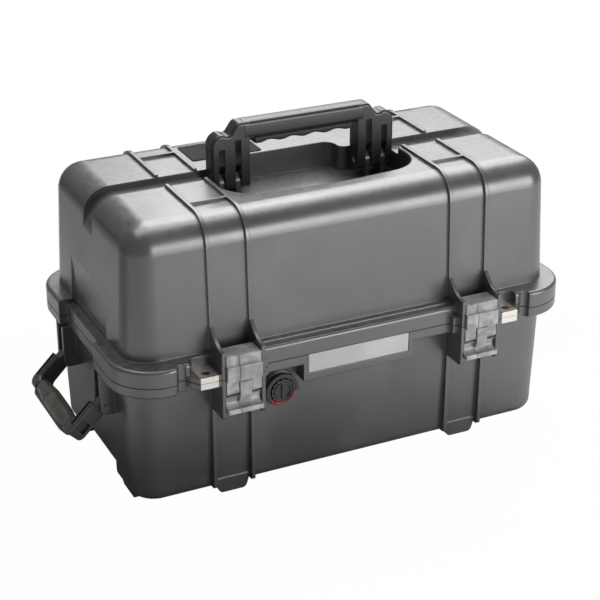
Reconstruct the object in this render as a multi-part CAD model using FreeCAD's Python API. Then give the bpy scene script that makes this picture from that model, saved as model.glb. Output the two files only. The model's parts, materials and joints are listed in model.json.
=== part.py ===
"""Protective hard case with a deep lid, two draw latches, three folding handles and a purge valve.

Lengths are millimetres. X runs along the case, the front faces -Y and Z points up.
The origin lies on the floor under the middle of the case body.
"""
import FreeCAD
import Part
import math
import os

V = FreeCAD.Vector

# Case body
body_length = 514.0
body_width = 260.0
corner_radius = 34.0
wall = 5.0
parting_z = 158.0
parting_gap = 0.4
base_floor_z = 6.0
base_draft_deg = 1.6
base_edge_radius = 12.0
lid_height = 163.0
lid_draft_deg = 2.8
lid_edge_radius = 30.0

# Clearances
overrun = 10.0
gap = 0.3
running_gap = 0.05

# Flange and corner bumpers
flange_reach = 17.3
lid_flange_height = 19.0
base_flange_height = 12.0
lid_flange_edge = 4.0
base_flange_edge = 2.5
bumper_bulge = 5.4
bumper_reach = 15.0
bumper_radius = 52.0
end_strip_reach = 5.5
end_strip_width = 115.0
end_strip_drop = 6.0
ledge_inset = 11.0
ledge_rise = 1.5
plate_ridge = 4.0
plate_bay_corner = 8.0
wave_length = 11.0
wave_depth = 3.0
wave_radius = 6.5

# Ribs
rib_thickness = 4.0
rib_height = 3.0
rib_end_z = 10.0
rib_end_radius = 4.0
cross_rib_inset = 56.0
cross_rib_depth = 12.0

# Latch bays and guards
latch_inset = 113.75
bay_width = 40.9
guard_thickness = 4.0
guard_reach = 15.3
guard_drop = 47.0
guard_rise = 30.0
gusset_rise = 47.0
gusset_bow = 4.0
guard_corner = 4.0

# Padlock lugs and plates
plate_thickness = 6.5
plate_width = 20.0
plate_depth = 26.0
plate_web = 3.5
plate_setback = 1.2
plate_hole_radius = 4.6
plate_hole_inset = 11.0
lug_run = 10.0
inner_lug_width = 6.5
inner_lug_reach = 7.5
inner_lug_height = 9.0

# Nameplate boss
boss_inset = 55.8
boss_height = 31.0
panel_margin = 6.0
panel_height = 22.5
panel_depth = 1.6
nameplate_thickness = 1.0

# Lid top channel and handle pocket
channel_width = 29.2
channel_depth = 8.0
channel_fade = 46.0
channel_bend = 38.0
pocket_end_gap = 4.0
pocket_depth = 30.0
pocket_front_gap = 12.0
pocket_front_fall = 10.5
pocket_front_radius = 348.0
pocket_corner = 42.0
pocket_lip = 3.0
pocket_back = 39.0
pocket_back_inset = 55.0
pocket_back_corner = 14.0
pocket_back_turn = 8.0

# Lid end recess
recess_depth = 4.5
recess_height = 52.0

# Bottom feet and end scoops
foot_length = 42.0
foot_bottom_length = 31.0
foot_radius = 6.0
foot_depth = 40.0
foot_proud = 0.8
corner_foot_inset = 10.0
scoop_radius = 34.0
scoop_width = 118.0

# Rim seal
seal_radius = 2.6
seal_inset = 5.0
groove_depth = 7.2
groove_width = 5.2
tongue_width = 2.6
tongue_height = 2.0

# Rear hinge
hinge_y_reach = 20.5
knuckle_radius = 6.0
knuckle_length = 15.0
knuckle_middle = 22.0
knuckle_gap = 0.4
knuckle_web = 15.0
hinge_pin_radius = 2.5

# Latch
latch_width = 39.4
latch_reach = 15.7
lever_pin_reach = 4.7
lever_pin_drop = 8.5
lever_pin_radius = 2.0
hook_pin_reach = 10.7
hook_pin_drop = 14.5
hook_pin_radius = 1.8
tab_end_radius = 5.4
tab_back_reach = 7.1
tongue_start_share = 0.37
tongue_end_share = 0.7
tongue_reach = 17.1
tongue_end_radius = 11.2
slit = 0.7
lever_back_reach = 1.3
lever_bottom_drop = 39.0
lever_shoulder_drop = 21.0
lip_reach = 21.2
lip_height = 5.0
scoop_depth = 5.0
lever_wall = 4.6
row_bottom_drop = 2.4
row_top_rise = 14.8
row_reach = 18.9
hook_top_rise = 26.0
hook_back_reach = 4.7
nose_grip = 7.8
slit_depth = 1.0
latch_edge = 1.0

# Top handle
handle_pivot_drop = 12.0
handle_pin_radius = 3.0
handle_half_width = 111.0
handle_leg_width = 45.0
handle_thickness = 20.0
handle_rise = 68.0
handle_shoulder_inset = 31.0
handle_shoulder_radius = 8.0
handle_notch_inset = 21.0
handle_notch_rise = 54.0
handle_notch_radius = 5.0
handle_ear_rise = 51.0
handle_ear_radius = 14.0
handle_ear_top_inset = 11.0
handle_ear_top_rise = 58.0
handle_ear_top_radius = 8.0
handle_edge = 3.5
grip_depth = 27.0
grip_rise = 69.0
grip_height = 26.5
grip_edge = 10.0
grip_wave_radius = 40.0
grip_wave_depth = 2.2
grip_wave_pitch = 27.0
grip_wave_count = 4
bar_depth = 15.0
bar_height = 15.0
bar_cover = 6.0
lug_inner_inset = 34.2
lug_outer_inset = 15.0
lug_eye_radius = 8.5
lid_lug_width = 6.0
lug_side_gap = 0.5
inner_slot_rise = 49.0
outer_slot_rise = 40.0

# End handles
end_pivot_reach = 8.0
end_pivot_drop = 52.0
end_arm_y = 62.0
end_arm_width = 13.0
end_arm_length = 44.0
end_arm_inner = 6.0
end_arm_outer = 14.0
end_eye_radius = 7.5
end_pin_radius = 2.4
end_pin_head_radius = 3.4
end_pin_head = 1.2
end_corner_radius = 10.0
end_window_corner = 8.0
end_bar_radius = 6.0
end_grip_radius = 12.5
end_grip_end_radius = 9.5
end_grip_swell_share = 0.5
end_grip_length = 98.0
end_grip_groove = 1.4
end_grip_groove_width = 1.6
end_grip_groove_pitch = 22.0
end_grip_groove_count = 3
end_frame_edge = 4.0
end_socket_width = 13.0
end_socket_rise = 10.5
end_socket_depth = 5.0
end_groove_width = 4.0
end_groove_depth = 3.0
ear_thickness = 4.5
ear_reach = 14.5
ear_below = 9.5
ear_corner = 7.0
left_handle_rest_deg = 45.0

# Purge valve
valve_inset = 33.6
valve_drop = 40.0
valve_seat_radius = 20.0
valve_seat_reach = 4.0
valve_flange_radius = 19.0
valve_flange = 3.0
valve_shank_radius = 11.0
valve_stub_radius = 7.0
valve_stub = 3.0
valve_knob_radius = 14.0
valve_knob_base_radius = 12.5
valve_knob_length = 5.4
valve_knob_rim = 3.6
valve_scallop_radius = 2.0
valve_scallop_count = 14
valve_face_groove_radius = 11.4
valve_face_groove = 1.2
valve_dish_radius = 8.6
valve_dish_depth = 1.6
valve_bar_width = 3.0
valve_ring_radius = 16.2
valve_ring_section = 1.5
valve_hood_wall = 1.1
valve_hood_start_deg = -8.0
valve_hood_sweep_deg = 220.0
nut_across = 30.0
nut_height = 6.0
nut_back_gap = 0.2

# Bare label place on the lid
label_inset = 10.8
label_length = 84.0
label_gap = 4.0
label_width = 48.0
label_thickness = 0.8
label_corner = 3.0

# Places worked out from the driving dimensions
half_length = body_length / 2
half_width = body_width / 2
lid_bottom_z = parting_z + parting_gap
lid_top_z = parting_z + lid_height
flange_top_z = lid_bottom_z + lid_flange_height
flange_low_z = parting_z - base_flange_height
flange_y = half_width + flange_reach
latch_x = half_length - latch_inset
bumper_y = flange_y + bumper_bulge
bumper_x = half_length + bumper_reach
end_strip_x = half_length + end_strip_reach
guard_y = flange_y + guard_reach
guard_inner_x = latch_x - bay_width / 2
guard_outer_x = latch_x + bay_width / 2
lug_start_x = guard_outer_x + guard_thickness
plate_start_x = lug_start_x + plate_web
plate_end_x = plate_start_x + plate_width
plate_front_y = guard_y - plate_setback
plate_back_y = plate_front_y - plate_depth
lug_end_x = plate_end_x + lug_run
bumper_start_x = bumper_x - bumper_radius
base_rib_y = half_width + rib_height
hinge_y = half_width + hinge_y_reach
lever_pin_length = bay_width + 2 * guard_thickness
latch_front = flange_y + latch_reach
lever_pin_y = flange_y + lever_pin_reach
lever_pin_z = parting_z - lever_pin_drop
hook_pin_y = flange_y + hook_pin_reach
hook_pin_z = parting_z - hook_pin_drop
tab_back = flange_y + tab_back_reach
tongue_front = flange_y + tongue_reach
lever_back = flange_y + lever_back_reach
lever_bottom_z = parting_z - lever_bottom_drop
lever_shoulder_z = parting_z - lever_shoulder_drop
lip_front = flange_y + lip_reach
row_bottom_z = parting_z - row_bottom_drop
row_top_z = parting_z + row_top_rise
row_front = flange_y + row_reach
hook_top_z = parting_z + hook_top_rise
hook_back = flange_y + hook_back_reach
nose_tip_y = flange_y - nose_grip
boss_half = guard_inner_x - boss_inset
panel_half = boss_half - panel_margin
handle_pivot_z = lid_top_z - handle_pivot_drop
handle_top_z = handle_pivot_z + handle_rise
handle_inner_x = handle_half_width - handle_leg_width
grip_top_z = handle_pivot_z + grip_rise
grip_bottom_z = grip_top_z - grip_height
bar_top_z = grip_top_z - bar_cover
bar_bottom_z = bar_top_z - bar_height
lug_inner_x = handle_half_width - lug_inner_inset
lug_outer_x = handle_half_width - lug_outer_inset
pocket_half = handle_half_width + pocket_end_gap
pocket_front = grip_rise + pocket_front_gap
pocket_back_half = handle_half_width - pocket_back_inset
end_pivot_x = half_length + end_pivot_reach
end_pivot_z = parting_z - end_pivot_drop
ear_x = half_length + ear_reach
ear_bottom_z = end_pivot_z - ear_below
valve_x = valve_inset - guard_inner_x
valve_z = parting_z - valve_drop
valve_seat_y = half_width + valve_seat_reach
valve_flange_y = valve_seat_y + valve_flange
label_x = label_inset - guard_inner_x
label_y = pocket_back + label_gap
cross_rib_y = half_width - cross_rib_inset
rib_places = (guard_inner_x - guard_thickness / 2, guard_outer_x + guard_thickness / 2)
SIDES = {"left": -1, "right": 1}


def box(x_range, y_range, z_range):
    """Block between two ends on each axis."""
    low = V(min(x_range), min(y_range), min(z_range))
    high = V(max(x_range), max(y_range), max(z_range))
    return Part.makeBox(high.x - low.x, high.y - low.y, high.z - low.z, low)


def rod(centre, direction, radius, length):
    """Cylinder from a centre point along a direction."""
    return Part.makeCylinder(radius, length, centre, direction)


def path_wire(steps, place):
    """Closed wire through plane points, where a step of two points is an arc through the first."""
    points = [step if isinstance(step[0], (int, float)) else step[-1] for step in steps]
    edges = []
    for index, step in enumerate(steps):
        start = place(*points[index - 1])
        end = place(*points[index])
        if isinstance(step[0], (int, float)):
            edges.append(Part.LineSegment(start, end).toShape())
        else:
            edges.append(Part.Arc(start, place(*step[0]), end).toShape())
    return Part.Wire(edges)


def prism_x(steps, start, end):
    """Outline in (y, z) drawn out along X."""
    wire = path_wire(steps, lambda y, z: V(start, y, z))
    return Part.Face(wire).extrude(V(end - start, 0, 0))


def prism_y(steps, start, end):
    """Outline in (x, z) drawn out along Y."""
    wire = path_wire(steps, lambda x, z: V(x, start, z))
    return Part.Face(wire).extrude(V(0, end - start, 0))


def prism_z(steps, start, end):
    """Outline in (x, y) drawn out along Z."""
    wire = path_wire(steps, lambda x, y: V(x, y, start))
    return Part.Face(wire).extrude(V(0, 0, end - start))


def rounded_path(corners):
    """Steps through corners given as (u, v, radius), each turned by an arc that touches both its sides."""
    steps = []
    for index, (u, v, radius) in enumerate(corners):
        if not radius:
            steps.append((u, v))
            continue
        sides = []
        for other in (corners[index - 1], corners[(index + 1) % len(corners)]):
            reach = math.hypot(other[0] - u, other[1] - v)
            sides.append(((other[0] - u) / reach, (other[1] - v) / reach))
        across = (sides[0][0] + sides[1][0], sides[0][1] + sides[1][1])
        cosine = math.hypot(*across) / 2
        half_angle = math.acos(cosine)
        reach = radius / math.tan(half_angle)
        depth = (radius / math.sin(half_angle) - radius) / (2 * cosine)
        middle = (u + across[0] * depth, v + across[1] * depth)
        start, end = [(u + side[0] * reach, v + side[1] * reach) for side in sides]
        steps += [start, (middle, end)]
    return steps


def rounded_rectangle(half_x, half_y, radius):
    """Steps of a rectangle with round corners, centred on zero."""
    corners = [(half_x, -half_y), (half_x, half_y), (-half_x, half_y), (-half_x, -half_y)]
    return rounded_path([(x, y, radius) for x, y in corners])


def mirrored(shape):
    """Copy of a shape on the other end of the case."""
    return shape.mirror(V(0, 0, 0), V(1, 0, 0))


def on_both_ends(shapes):
    """Shapes and their mirror images across the middle of the case."""
    return list(shapes) + [mirrored(shape) for shape in shapes]


def level_edges(shape, radius, level):
    """Round the edges that lie flat at one height."""
    edges = []
    for edge in shape.Edges:
        bounds = edge.BoundBox
        if max(abs(bounds.ZMin - level), abs(bounds.ZMax - level)) < running_gap:
            edges.append(edge)
    return shape.makeFillet(radius, edges)


def drafted_block(inset, grow, low_z, high_z, wide_z, draft_deg):
    """Drafted body block that has its full plan at one height and narrows upwards from there."""
    wires = []
    for z in (low_z, high_z):
        shrink = inset - grow + (z - wide_z) * math.tan(math.radians(draft_deg))
        steps = rounded_rectangle(half_length - shrink, half_width - shrink, corner_radius - shrink)
        wires.append(path_wire(steps, lambda x, y, z=z: V(x, y, z)))
    return Part.makeLoft(wires, True, True)


def base_block(inset):
    """Outside of the base, or its inside when inset by the wall."""
    low_z = base_floor_z + inset
    high_z = parting_z + (overrun if inset else 0)
    block = drafted_block(inset, 0, low_z, high_z, parting_z, -base_draft_deg)
    return level_edges(block, base_edge_radius - inset, low_z)


def lid_block(inset, grow):
    """Outside of the lid, its inside when inset by the wall, or the rib envelope when grown."""
    high_z = lid_top_z - inset + grow
    low_z = lid_bottom_z - (overrun if inset else 0)
    block = drafted_block(inset, grow, low_z, high_z, lid_bottom_z, lid_draft_deg)
    return level_edges(block, lid_edge_radius - inset + grow, high_z)


def flange_plate(low_z, high_z, edge_z, edge_radius):
    """Rim that lid and base share, with bulging corner bumpers and set-back end strips."""
    middle = ((lug_end_x + bumper_start_x) / 2, -flange_y - bumper_bulge / 2)
    bow = s_curve_bow(bumper_start_x - lug_end_x, bumper_bulge)
    first = ((lug_end_x + middle[0]) / 2 - bow[0], (-flange_y + middle[1]) / 2 + bow[1])
    second = ((bumper_start_x + middle[0]) / 2 + bow[0], (-bumper_y + middle[1]) / 2 - bow[1])
    diagonal = bumper_radius * math.sqrt(0.5)
    front_turn = (bumper_start_x + diagonal, -bumper_y + bumper_radius - diagonal)
    rear_turn = (bumper_start_x + diagonal, flange_y - bumper_radius + diagonal)
    right = [
        (lug_end_x, -flange_y),
        (first, middle),
        (second, (bumper_start_x, -bumper_y)),
        (front_turn, (bumper_x, -bumper_y + bumper_radius)),
        (bumper_x, flange_y - bumper_radius),
        (rear_turn, (bumper_start_x, flange_y)),
    ]
    plate = prism_z(right + mirrored_steps(right), low_z, high_z)
    plate = level_edges(plate, edge_radius, edge_z)
    height = high_z - low_z + 2 * overrun
    groove_x = lug_end_x + wave_length / 2
    groove_y = -flange_y - wave_radius + wave_depth
    groove = rod(V(groove_x, groove_y, low_z - overrun), V(0, 0, 1), wave_radius, height)
    strip = box(
        (end_strip_x, bumper_x + overrun),
        (-end_strip_width / 2, end_strip_width / 2),
        (low_z - overrun, high_z + overrun),
    )
    return plate.cut(on_both_ends([groove, strip]))


def s_curve_bow(length, height):
    """How far each half of an S of two equal arcs stands off its own chord."""
    radius = (length ** 2 + height ** 2) / (4 * height)
    half_chord = math.hypot(length, height) / 4
    sagitta = radius - math.sqrt(radius ** 2 - half_chord ** 2)
    slope = math.atan2(height, length)
    return sagitta * math.sin(slope), sagitta * math.cos(slope)


def mirrored_steps(steps):
    """Walk the same outline backwards on the other side of the Y axis."""
    plain = [step if isinstance(step[0], (int, float)) else step[-1] for step in steps]
    result = []
    for index in range(len(steps) - 1, -1, -1):
        point = (-plain[index][0], plain[index][1])
        following = steps[index + 1] if index + 1 < len(steps) else point
        if isinstance(following[0], (int, float)):
            result.append(point)
        else:
            result.append(((-following[0][0], following[0][1]), point))
    return result


def rib_slabs(z_range):
    """Thin slabs across the case at the four rib places."""
    slabs = []
    for place in rib_places:
        x_range = (place - rib_thickness / 2, place + rib_thickness / 2)
        slabs.append(box(x_range, (-flange_y, flange_y), z_range))
    return on_both_ends(slabs)


def padlock_lug(low_z):
    """Plastic lug that carries a padlock plate on the right-hand end."""
    steps = [
        (lug_start_x, -plate_back_y),
        (lug_start_x, -plate_front_y),
        (plate_end_x, -plate_front_y),
        (lug_end_x, -flange_y),
        (lug_end_x, -plate_back_y),
    ]
    return prism_z(steps, low_z, low_z + plate_thickness)


def padlock_plate(low_z):
    """Stainless plate with the padlock hole on the right-hand end."""
    x_range = (plate_start_x, plate_end_x)
    plate = box(x_range, (-plate_front_y, -plate_back_y), (low_z, low_z + plate_thickness))
    centre = V((plate_start_x + plate_end_x) / 2, -plate_front_y + plate_hole_inset, low_z - overrun)
    return plate.cut(rod(centre, V(0, 0, 1), plate_hole_radius, plate_thickness + 2 * overrun))


def knuckle_cylinders(radius, spans):
    """Cylinders about the hinge line over spans along X, on both ends of the case."""
    cylinders = []
    for start, end in spans:
        cylinders.append(rod(V(start, hinge_y, parting_z), V(1, 0, 0), radius, end - start))
    return on_both_ends(cylinders)


def knuckle_spans(margin):
    """Spans of the outer knuckles and of the middle knuckle along X, widened by a margin."""
    inner = knuckle_middle / 2
    outer = inner + knuckle_gap + knuckle_length
    base_spans = [
        (latch_x - outer - margin, latch_x - inner - knuckle_gap + margin),
        (latch_x + inner + knuckle_gap - margin, latch_x + outer + margin),
    ]
    lid_spans = [(latch_x - inner - margin, latch_x + inner + margin)]
    return base_spans, lid_spans


def knuckles(spans, edge_z):
    """Hinge barrels with webs that run to the flange above or below them."""
    shapes = knuckle_cylinders(knuckle_radius, spans)
    webs = []
    for start, end in spans:
        steps = [
            (hinge_y - knuckle_web, edge_z),
            (hinge_y - knuckle_web, parting_z),
            (hinge_y + knuckle_radius, parting_z),
            (flange_y, edge_z),
        ]
        webs.append(prism_x(steps, start, end))
    return shapes + on_both_ends(webs)


def rim_ring(half_band, low_z, high_z):
    """Upright ring round the rim, centred on the seal line."""
    rings = []
    for offset in (half_band, -half_band):
        grow = seal_inset - wall + offset
        steps = rounded_rectangle(half_length + grow, half_width + grow, corner_radius + grow)
        rings.append(prism_z(steps, low_z, high_z))
    return rings[0].cut(rings[1])


def end_scoop(margin):
    """Tool that rounds the middle of the base's left bottom edge; a margin moves it inwards."""
    face_x = -half_length + (parting_z - base_floor_z) * math.tan(math.radians(base_draft_deg)) + margin
    floor_z = base_floor_z + margin
    top_z = floor_z + 2 * scoop_radius
    top_x = face_x - 2 * scoop_radius * math.tan(math.radians(2 * base_draft_deg))
    out_x = top_x - overrun - margin
    out_z = floor_z - overrun - margin
    corners = [
        (top_x, top_z, 0),
        (face_x, floor_z, scoop_radius),
        (face_x + 2 * scoop_radius, floor_z, 0),
        (face_x + 2 * scoop_radius, out_z, 0),
        (out_x, out_z, 0),
        (out_x, top_z, 0),
    ]
    half = scoop_width / 2 + margin
    return prism_y(rounded_path(corners), -half, half)


def base_ribs():
    """Front and back ribs of the base with rounded lower ends."""
    ribs = []
    for front in (-1, 1):
        corners = [
            (front * corner_radius, parting_z, 0),
            (front * base_rib_y, parting_z, 0),
            (front * base_rib_y, rib_end_z, rib_end_radius),
            (front * corner_radius, rib_end_z, 0),
        ]
        ribs += at_rib_places(rounded_path(corners), rib_thickness)
    return ribs


def at_rib_places(steps, thickness):
    """Plates of one outline at the four rib places."""
    plates = []
    for place in rib_places:
        plates.append(prism_x(steps, place - thickness / 2, place + thickness / 2))
    return on_both_ends(plates)


def feet():
    """Four tapered feet under the rib pairs and four blocks under the bottom corners."""
    blocks = []
    top_z = base_floor_z + base_edge_radius
    steps = rounded_path([
        (latch_x - foot_length / 2, top_z, 0),
        (latch_x - foot_bottom_length / 2, 0, foot_radius),
        (latch_x + foot_bottom_length / 2, 0, foot_radius),
        (latch_x + foot_length / 2, top_z, 0),
    ])
    face_y = half_width - (parting_z - top_z) * math.tan(math.radians(base_draft_deg)) + foot_proud
    for front in (-1, 1):
        blocks.append(prism_y(steps, front * face_y, front * (face_y - foot_depth)))
    side_x = half_length - corner_foot_inset
    for front in (-1, 1):
        corner = [
            (front * scoop_width / 2, top_z),
            (front * scoop_width / 2, rib_end_radius),
            (front * (scoop_width / 2 + rib_end_radius), 0),
            (front * (scoop_width / 2 + foot_depth - rib_end_radius), 0),
            (front * (scoop_width / 2 + foot_depth), rib_end_radius),
            (front * (scoop_width / 2 + foot_depth), top_z),
        ]
        blocks.append(prism_x(corner, side_x - foot_depth, side_x))
    return on_both_ends(blocks)


def bracket_ears():
    """Double ears that carry the end handles, on the left end."""
    steps = rounded_path([
        (-half_length + wall / 2, flange_low_z, 0),
        (-half_length + wall, ear_bottom_z, 0),
        (-ear_x, ear_bottom_z, ear_corner),
        (-ear_x, flange_low_z, 0),
    ])
    ears = []
    half_arm = end_arm_width / 2 + gap
    for side in (-1, 1):
        for offset in (half_arm, -half_arm - ear_thickness):
            start = side * end_arm_y + offset
            ears.append(prism_y(steps, start, start + ear_thickness))
    return ears


def end_pin_line(side, radius, margin):
    """Cylinder on the end handle's pivot through one bracket of the left end."""
    length = end_arm_width + 2 * (gap + ear_thickness + margin)
    start = V(-end_pivot_x, side * end_arm_y - length / 2, end_pivot_z)
    return rod(start, V(0, 1, 0), radius, length)


def make_base_shell():
    """Base tub with flange, ribs, latch guards, nameplate boss, valve seat, brackets and hinge barrels."""
    flange = flange_plate(flange_low_z, parting_z, flange_low_z, base_flange_edge)
    guard_low = parting_z - guard_drop
    guard = rounded_path([
        (-half_width + wall, guard_low, 0),
        (-guard_y, guard_low, guard_corner),
        (-guard_y, parting_z, 0),
        (-half_width + wall, parting_z, 0),
    ])
    boss = box(
        (-boss_half, boss_half),
        (-flange_y, -half_width + wall),
        (parting_z - boss_height, parting_z),
    )
    seat = valve_disc(valve_seat_y, valve_seat_y - half_width + wall, valve_seat_radius)
    inner_lug = box(
        (guard_inner_x - guard_thickness, guard_inner_x - guard_thickness - inner_lug_width),
        (-flange_y - inner_lug_reach, -half_width),
        (parting_z - inner_lug_height, parting_z),
    )
    base_spans = knuckle_spans(0)[0]
    wide_lid_spans = knuckle_spans(knuckle_gap)[1]
    solids = [flange, boss, seat] + base_ribs() + feet()
    solids += at_rib_places(guard, guard_thickness)
    solids += on_both_ends([inner_lug, padlock_lug(parting_z - plate_thickness)])
    solids += knuckles(base_spans, flange_low_z)
    solids += on_both_ends(bracket_ears())
    shell = base_block(0).multiFuse(solids)
    cavity = base_block(wall).cut(on_both_ends([end_scoop(wall)]))
    plate_way = box(
        (plate_start_x, plate_end_x),
        (-plate_front_y - overrun, -plate_back_y),
        (flange_low_z - overrun, parting_z + overrun),
    )
    panel = box(
        (-panel_half, panel_half),
        (-flange_y - overrun, -flange_y + panel_depth),
        (parting_z - panel_height, parting_z + overrun),
    )
    bore = valve_disc(guard_y, guard_y, valve_shank_radius)
    cuts = [cavity, panel, bore]
    cuts += on_both_ends([end_scoop(0), plate_way])
    cuts += knuckle_cylinders(knuckle_radius + knuckle_gap, wide_lid_spans)
    cuts += knuckle_cylinders(hinge_pin_radius, [(latch_x - guard_y, latch_x + guard_y / 2)])
    for front in (-1, 1):
        cuts += on_both_ends([end_pin_line(front, end_pin_radius, overrun)])
    cuts += on_both_ends([make_lever_pin(latch_x)])
    shell = shell.cut(cuts)
    tongue = rim_ring(tongue_width / 2, parting_z - overrun / 2, parting_z + tongue_height)
    return shell.fuse(tongue.cut(cavity))


def channel_tool(margin):
    """Channel along the lid's top that bends over both ends; a margin moves its floor inwards."""
    floor_z = lid_top_z - channel_depth - margin
    slope = math.tan(math.radians(lid_draft_deg))
    fade_z = lid_top_z - channel_fade
    end_x = half_length - (fade_z - lid_bottom_z) * slope - margin
    bend = channel_bend
    cut = bend * (1 - math.sqrt(0.5))
    out_x = half_length + overrun
    out_z = lid_top_z + rib_height + overrun
    steps = [
        (out_x, out_z),
        (-out_x, out_z),
        (-out_x, floor_z - bend),
        (-end_x, floor_z - bend),
        ((-end_x + cut, floor_z - cut), (-end_x + bend, floor_z)),
        (end_x - bend, floor_z),
        ((end_x - cut, floor_z - cut), (end_x, floor_z - bend)),
        (out_x, floor_z - bend),
    ]
    half = channel_width / 2 + margin
    return prism_y(steps, -half, half)


def pocket_tool(margin):
    """Handle pocket with a bowed front and a narrower finger bay behind the grip."""
    half = pocket_half + margin
    back_half = pocket_back_half + margin
    back = pocket_back + margin
    shelf = channel_width / 2 + margin
    side = pocket_front_fall - pocket_front - margin
    steps = rounded_path([
        (half, shelf, 0),
        (back_half, shelf, pocket_back_turn - margin),
        (back_half, back, pocket_back_corner + margin),
        (-back_half, back, pocket_back_corner + margin),
        (-back_half, shelf, pocket_back_turn - margin),
        (-half, shelf, 0),
        (-half, side, pocket_corner + margin),
        (0, -pocket_front - margin, pocket_front_radius + margin),
        (half, side, pocket_corner + margin),
    ])
    return prism_z(steps, lid_top_z - pocket_depth - margin, lid_top_z + overrun)


def recess_tool(margin):
    """Shallow wedge in the lid's left end wall above the flange; a margin moves it inwards."""
    slope = math.tan(math.radians(lid_draft_deg))
    low_z = flange_top_z
    top_z = low_z + recess_height
    low_x = -half_length + lid_flange_height * slope + recess_depth + margin
    top_x = -half_length + (lid_flange_height + recess_height) * slope + margin
    out_x = -bumper_x - overrun
    steps = [(out_x, low_z - margin), (low_x, low_z - margin), (top_x, top_z), (out_x, top_z)]
    half = end_strip_width / 2 + margin
    return prism_y(steps, -half, half)


def lid_ribs():
    """Ribs over the lid in pairs, with a cross rib near each top edge."""
    envelope = lid_block(0, rib_height)
    slabs = rib_slabs((lid_bottom_z, lid_top_z + overrun))
    crosses = []
    for front in (-1, 1):
        y_range = (front * cross_rib_y - rib_thickness / 2, front * cross_rib_y + rib_thickness / 2)
        z_range = (lid_top_z - cross_rib_depth, lid_top_z + rib_height)
        crosses.append(box(rib_places, y_range, z_range))
    return [envelope.common(slab) for slab in slabs + on_both_ends(crosses)]


def handle_lugs():
    """Lugs in the lid's pocket that carry the top handle's pins, on the right-hand side."""
    lugs = []
    floor_z = lid_top_z - pocket_depth - wall / 2
    for place in (lug_inner_x, lug_outer_x):
        centre = V(place, 0, handle_pivot_z)
        eye = rod(centre, V(1, 0, 0), lug_eye_radius, lid_lug_width)
        stem = box(
            (place, place + lid_lug_width), (-lug_eye_radius, lug_eye_radius), (floor_z, handle_pivot_z)
        )
        lugs.append(eye.fuse(stem))
    return lugs


def plate_bay():
    """Cut that lays the lid's right-hand padlock plate open from above."""
    front_y = -flange_y - overrun
    end_x = lug_end_x - plate_ridge
    steps = rounded_path([
        (lug_start_x, front_y, 0),
        (end_x, front_y, 0),
        (end_x, -plate_back_y, plate_bay_corner),
        (lug_start_x, -plate_back_y, 0),
    ])
    return prism_z(steps, lid_bottom_z + plate_thickness, flange_top_z + overrun)


def soften_pocket(block):
    """Round the lip at the front and sides of the handle pocket."""
    lip = []
    for edge in block.Edges:
        bounds = edge.BoundBox
        level = max(abs(bounds.ZMin - lid_top_z), abs(bounds.ZMax - lid_top_z)) < running_gap
        ahead = bounds.YMax < gap - channel_width / 2 and bounds.YMin > -pocket_front
        if level and ahead and bounds.XMin > -pocket_half - gap and bounds.XMax < pocket_half + gap:
            lip.append(edge)
    return block.makeFillet(pocket_lip, lip)


def make_lid_shell():
    """Deep lid with flange, ribs, gussets, top channel, handle pocket and end recesses."""
    flange = flange_plate(lid_bottom_z, flange_top_z, flange_top_z, lid_flange_edge)
    ledge = box(
        (-rib_places[0], rib_places[0]),
        (-flange_y + ledge_inset, -half_width + wall),
        (lid_bottom_z, flange_top_z + ledge_rise),
    )
    inside_y = -half_width + wall
    run = guard_y - base_rib_y
    rise = gusset_rise - guard_rise
    bow = gusset_bow / math.hypot(run, rise)
    sweep = (-base_rib_y - run / 2 + rise * bow, lid_bottom_z + guard_rise + rise / 2 - run * bow)
    gusset = [
        (inside_y, lid_bottom_z),
        (-guard_y, lid_bottom_z),
        (-guard_y, lid_bottom_z + guard_rise),
        (sweep, (-base_rib_y, lid_bottom_z + gusset_rise)),
        (inside_y, lid_bottom_z + gusset_rise),
    ]
    inner_lug = box(
        (guard_inner_x - guard_thickness, guard_inner_x - guard_thickness - inner_lug_width),
        (-flange_y - inner_lug_reach, -half_width),
        (lid_bottom_z, lid_bottom_z + inner_lug_height),
    )
    lid_spans = knuckle_spans(0)[1]
    wide_base_spans = knuckle_spans(knuckle_gap)[0]
    hollows = [channel_tool(0), pocket_tool(0)]
    solids = [flange, ledge] + at_rib_places(gusset, guard_thickness)
    solids += [rib.cut(hollows) for rib in lid_ribs()]
    solids += on_both_ends([inner_lug, padlock_lug(lid_bottom_z)])
    solids += knuckles(lid_spans, lid_bottom_z + base_flange_height)
    shell = soften_pocket(lid_block(0, 0).cut(hollows)).multiFuse(solids)
    cavity = lid_block(wall, 0)
    shields = [channel_tool(wall), pocket_tool(wall)] + on_both_ends([recess_tool(wall)])
    cavity = cavity.cut(shields)
    plate_way = box(
        (plate_start_x, plate_end_x),
        (-plate_front_y - overrun, -plate_back_y),
        (lid_bottom_z - overrun, flange_top_z + overrun),
    )
    strip_cut = box(
        (-bumper_x - overrun, -half_length + recess_depth),
        (-end_strip_width / 2, end_strip_width / 2),
        (flange_top_z - end_strip_drop, flange_top_z + overrun / 2),
    )
    groove = rim_ring(groove_width / 2, lid_bottom_z - overrun, lid_bottom_z + groove_depth)
    cuts = [cavity, groove]
    cuts += on_both_ends([recess_tool(0), strip_cut, plate_way, plate_bay()])
    cuts += knuckle_cylinders(knuckle_radius + knuckle_gap, wide_base_spans)
    shell = shell.cut(cuts).multiFuse(on_both_ends(handle_lugs()))
    bores = knuckle_cylinders(hinge_pin_radius + running_gap, [(latch_x - guard_y, latch_x + guard_y / 2)])
    start = V(lug_inner_x - overrun, 0, handle_pivot_z)
    lug_span = lug_outer_x - lug_inner_x + lid_lug_width + 2 * overrun
    bores += on_both_ends([rod(start, V(1, 0, 0), handle_pin_radius, lug_span)])
    return shell.cut(bores)


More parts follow.
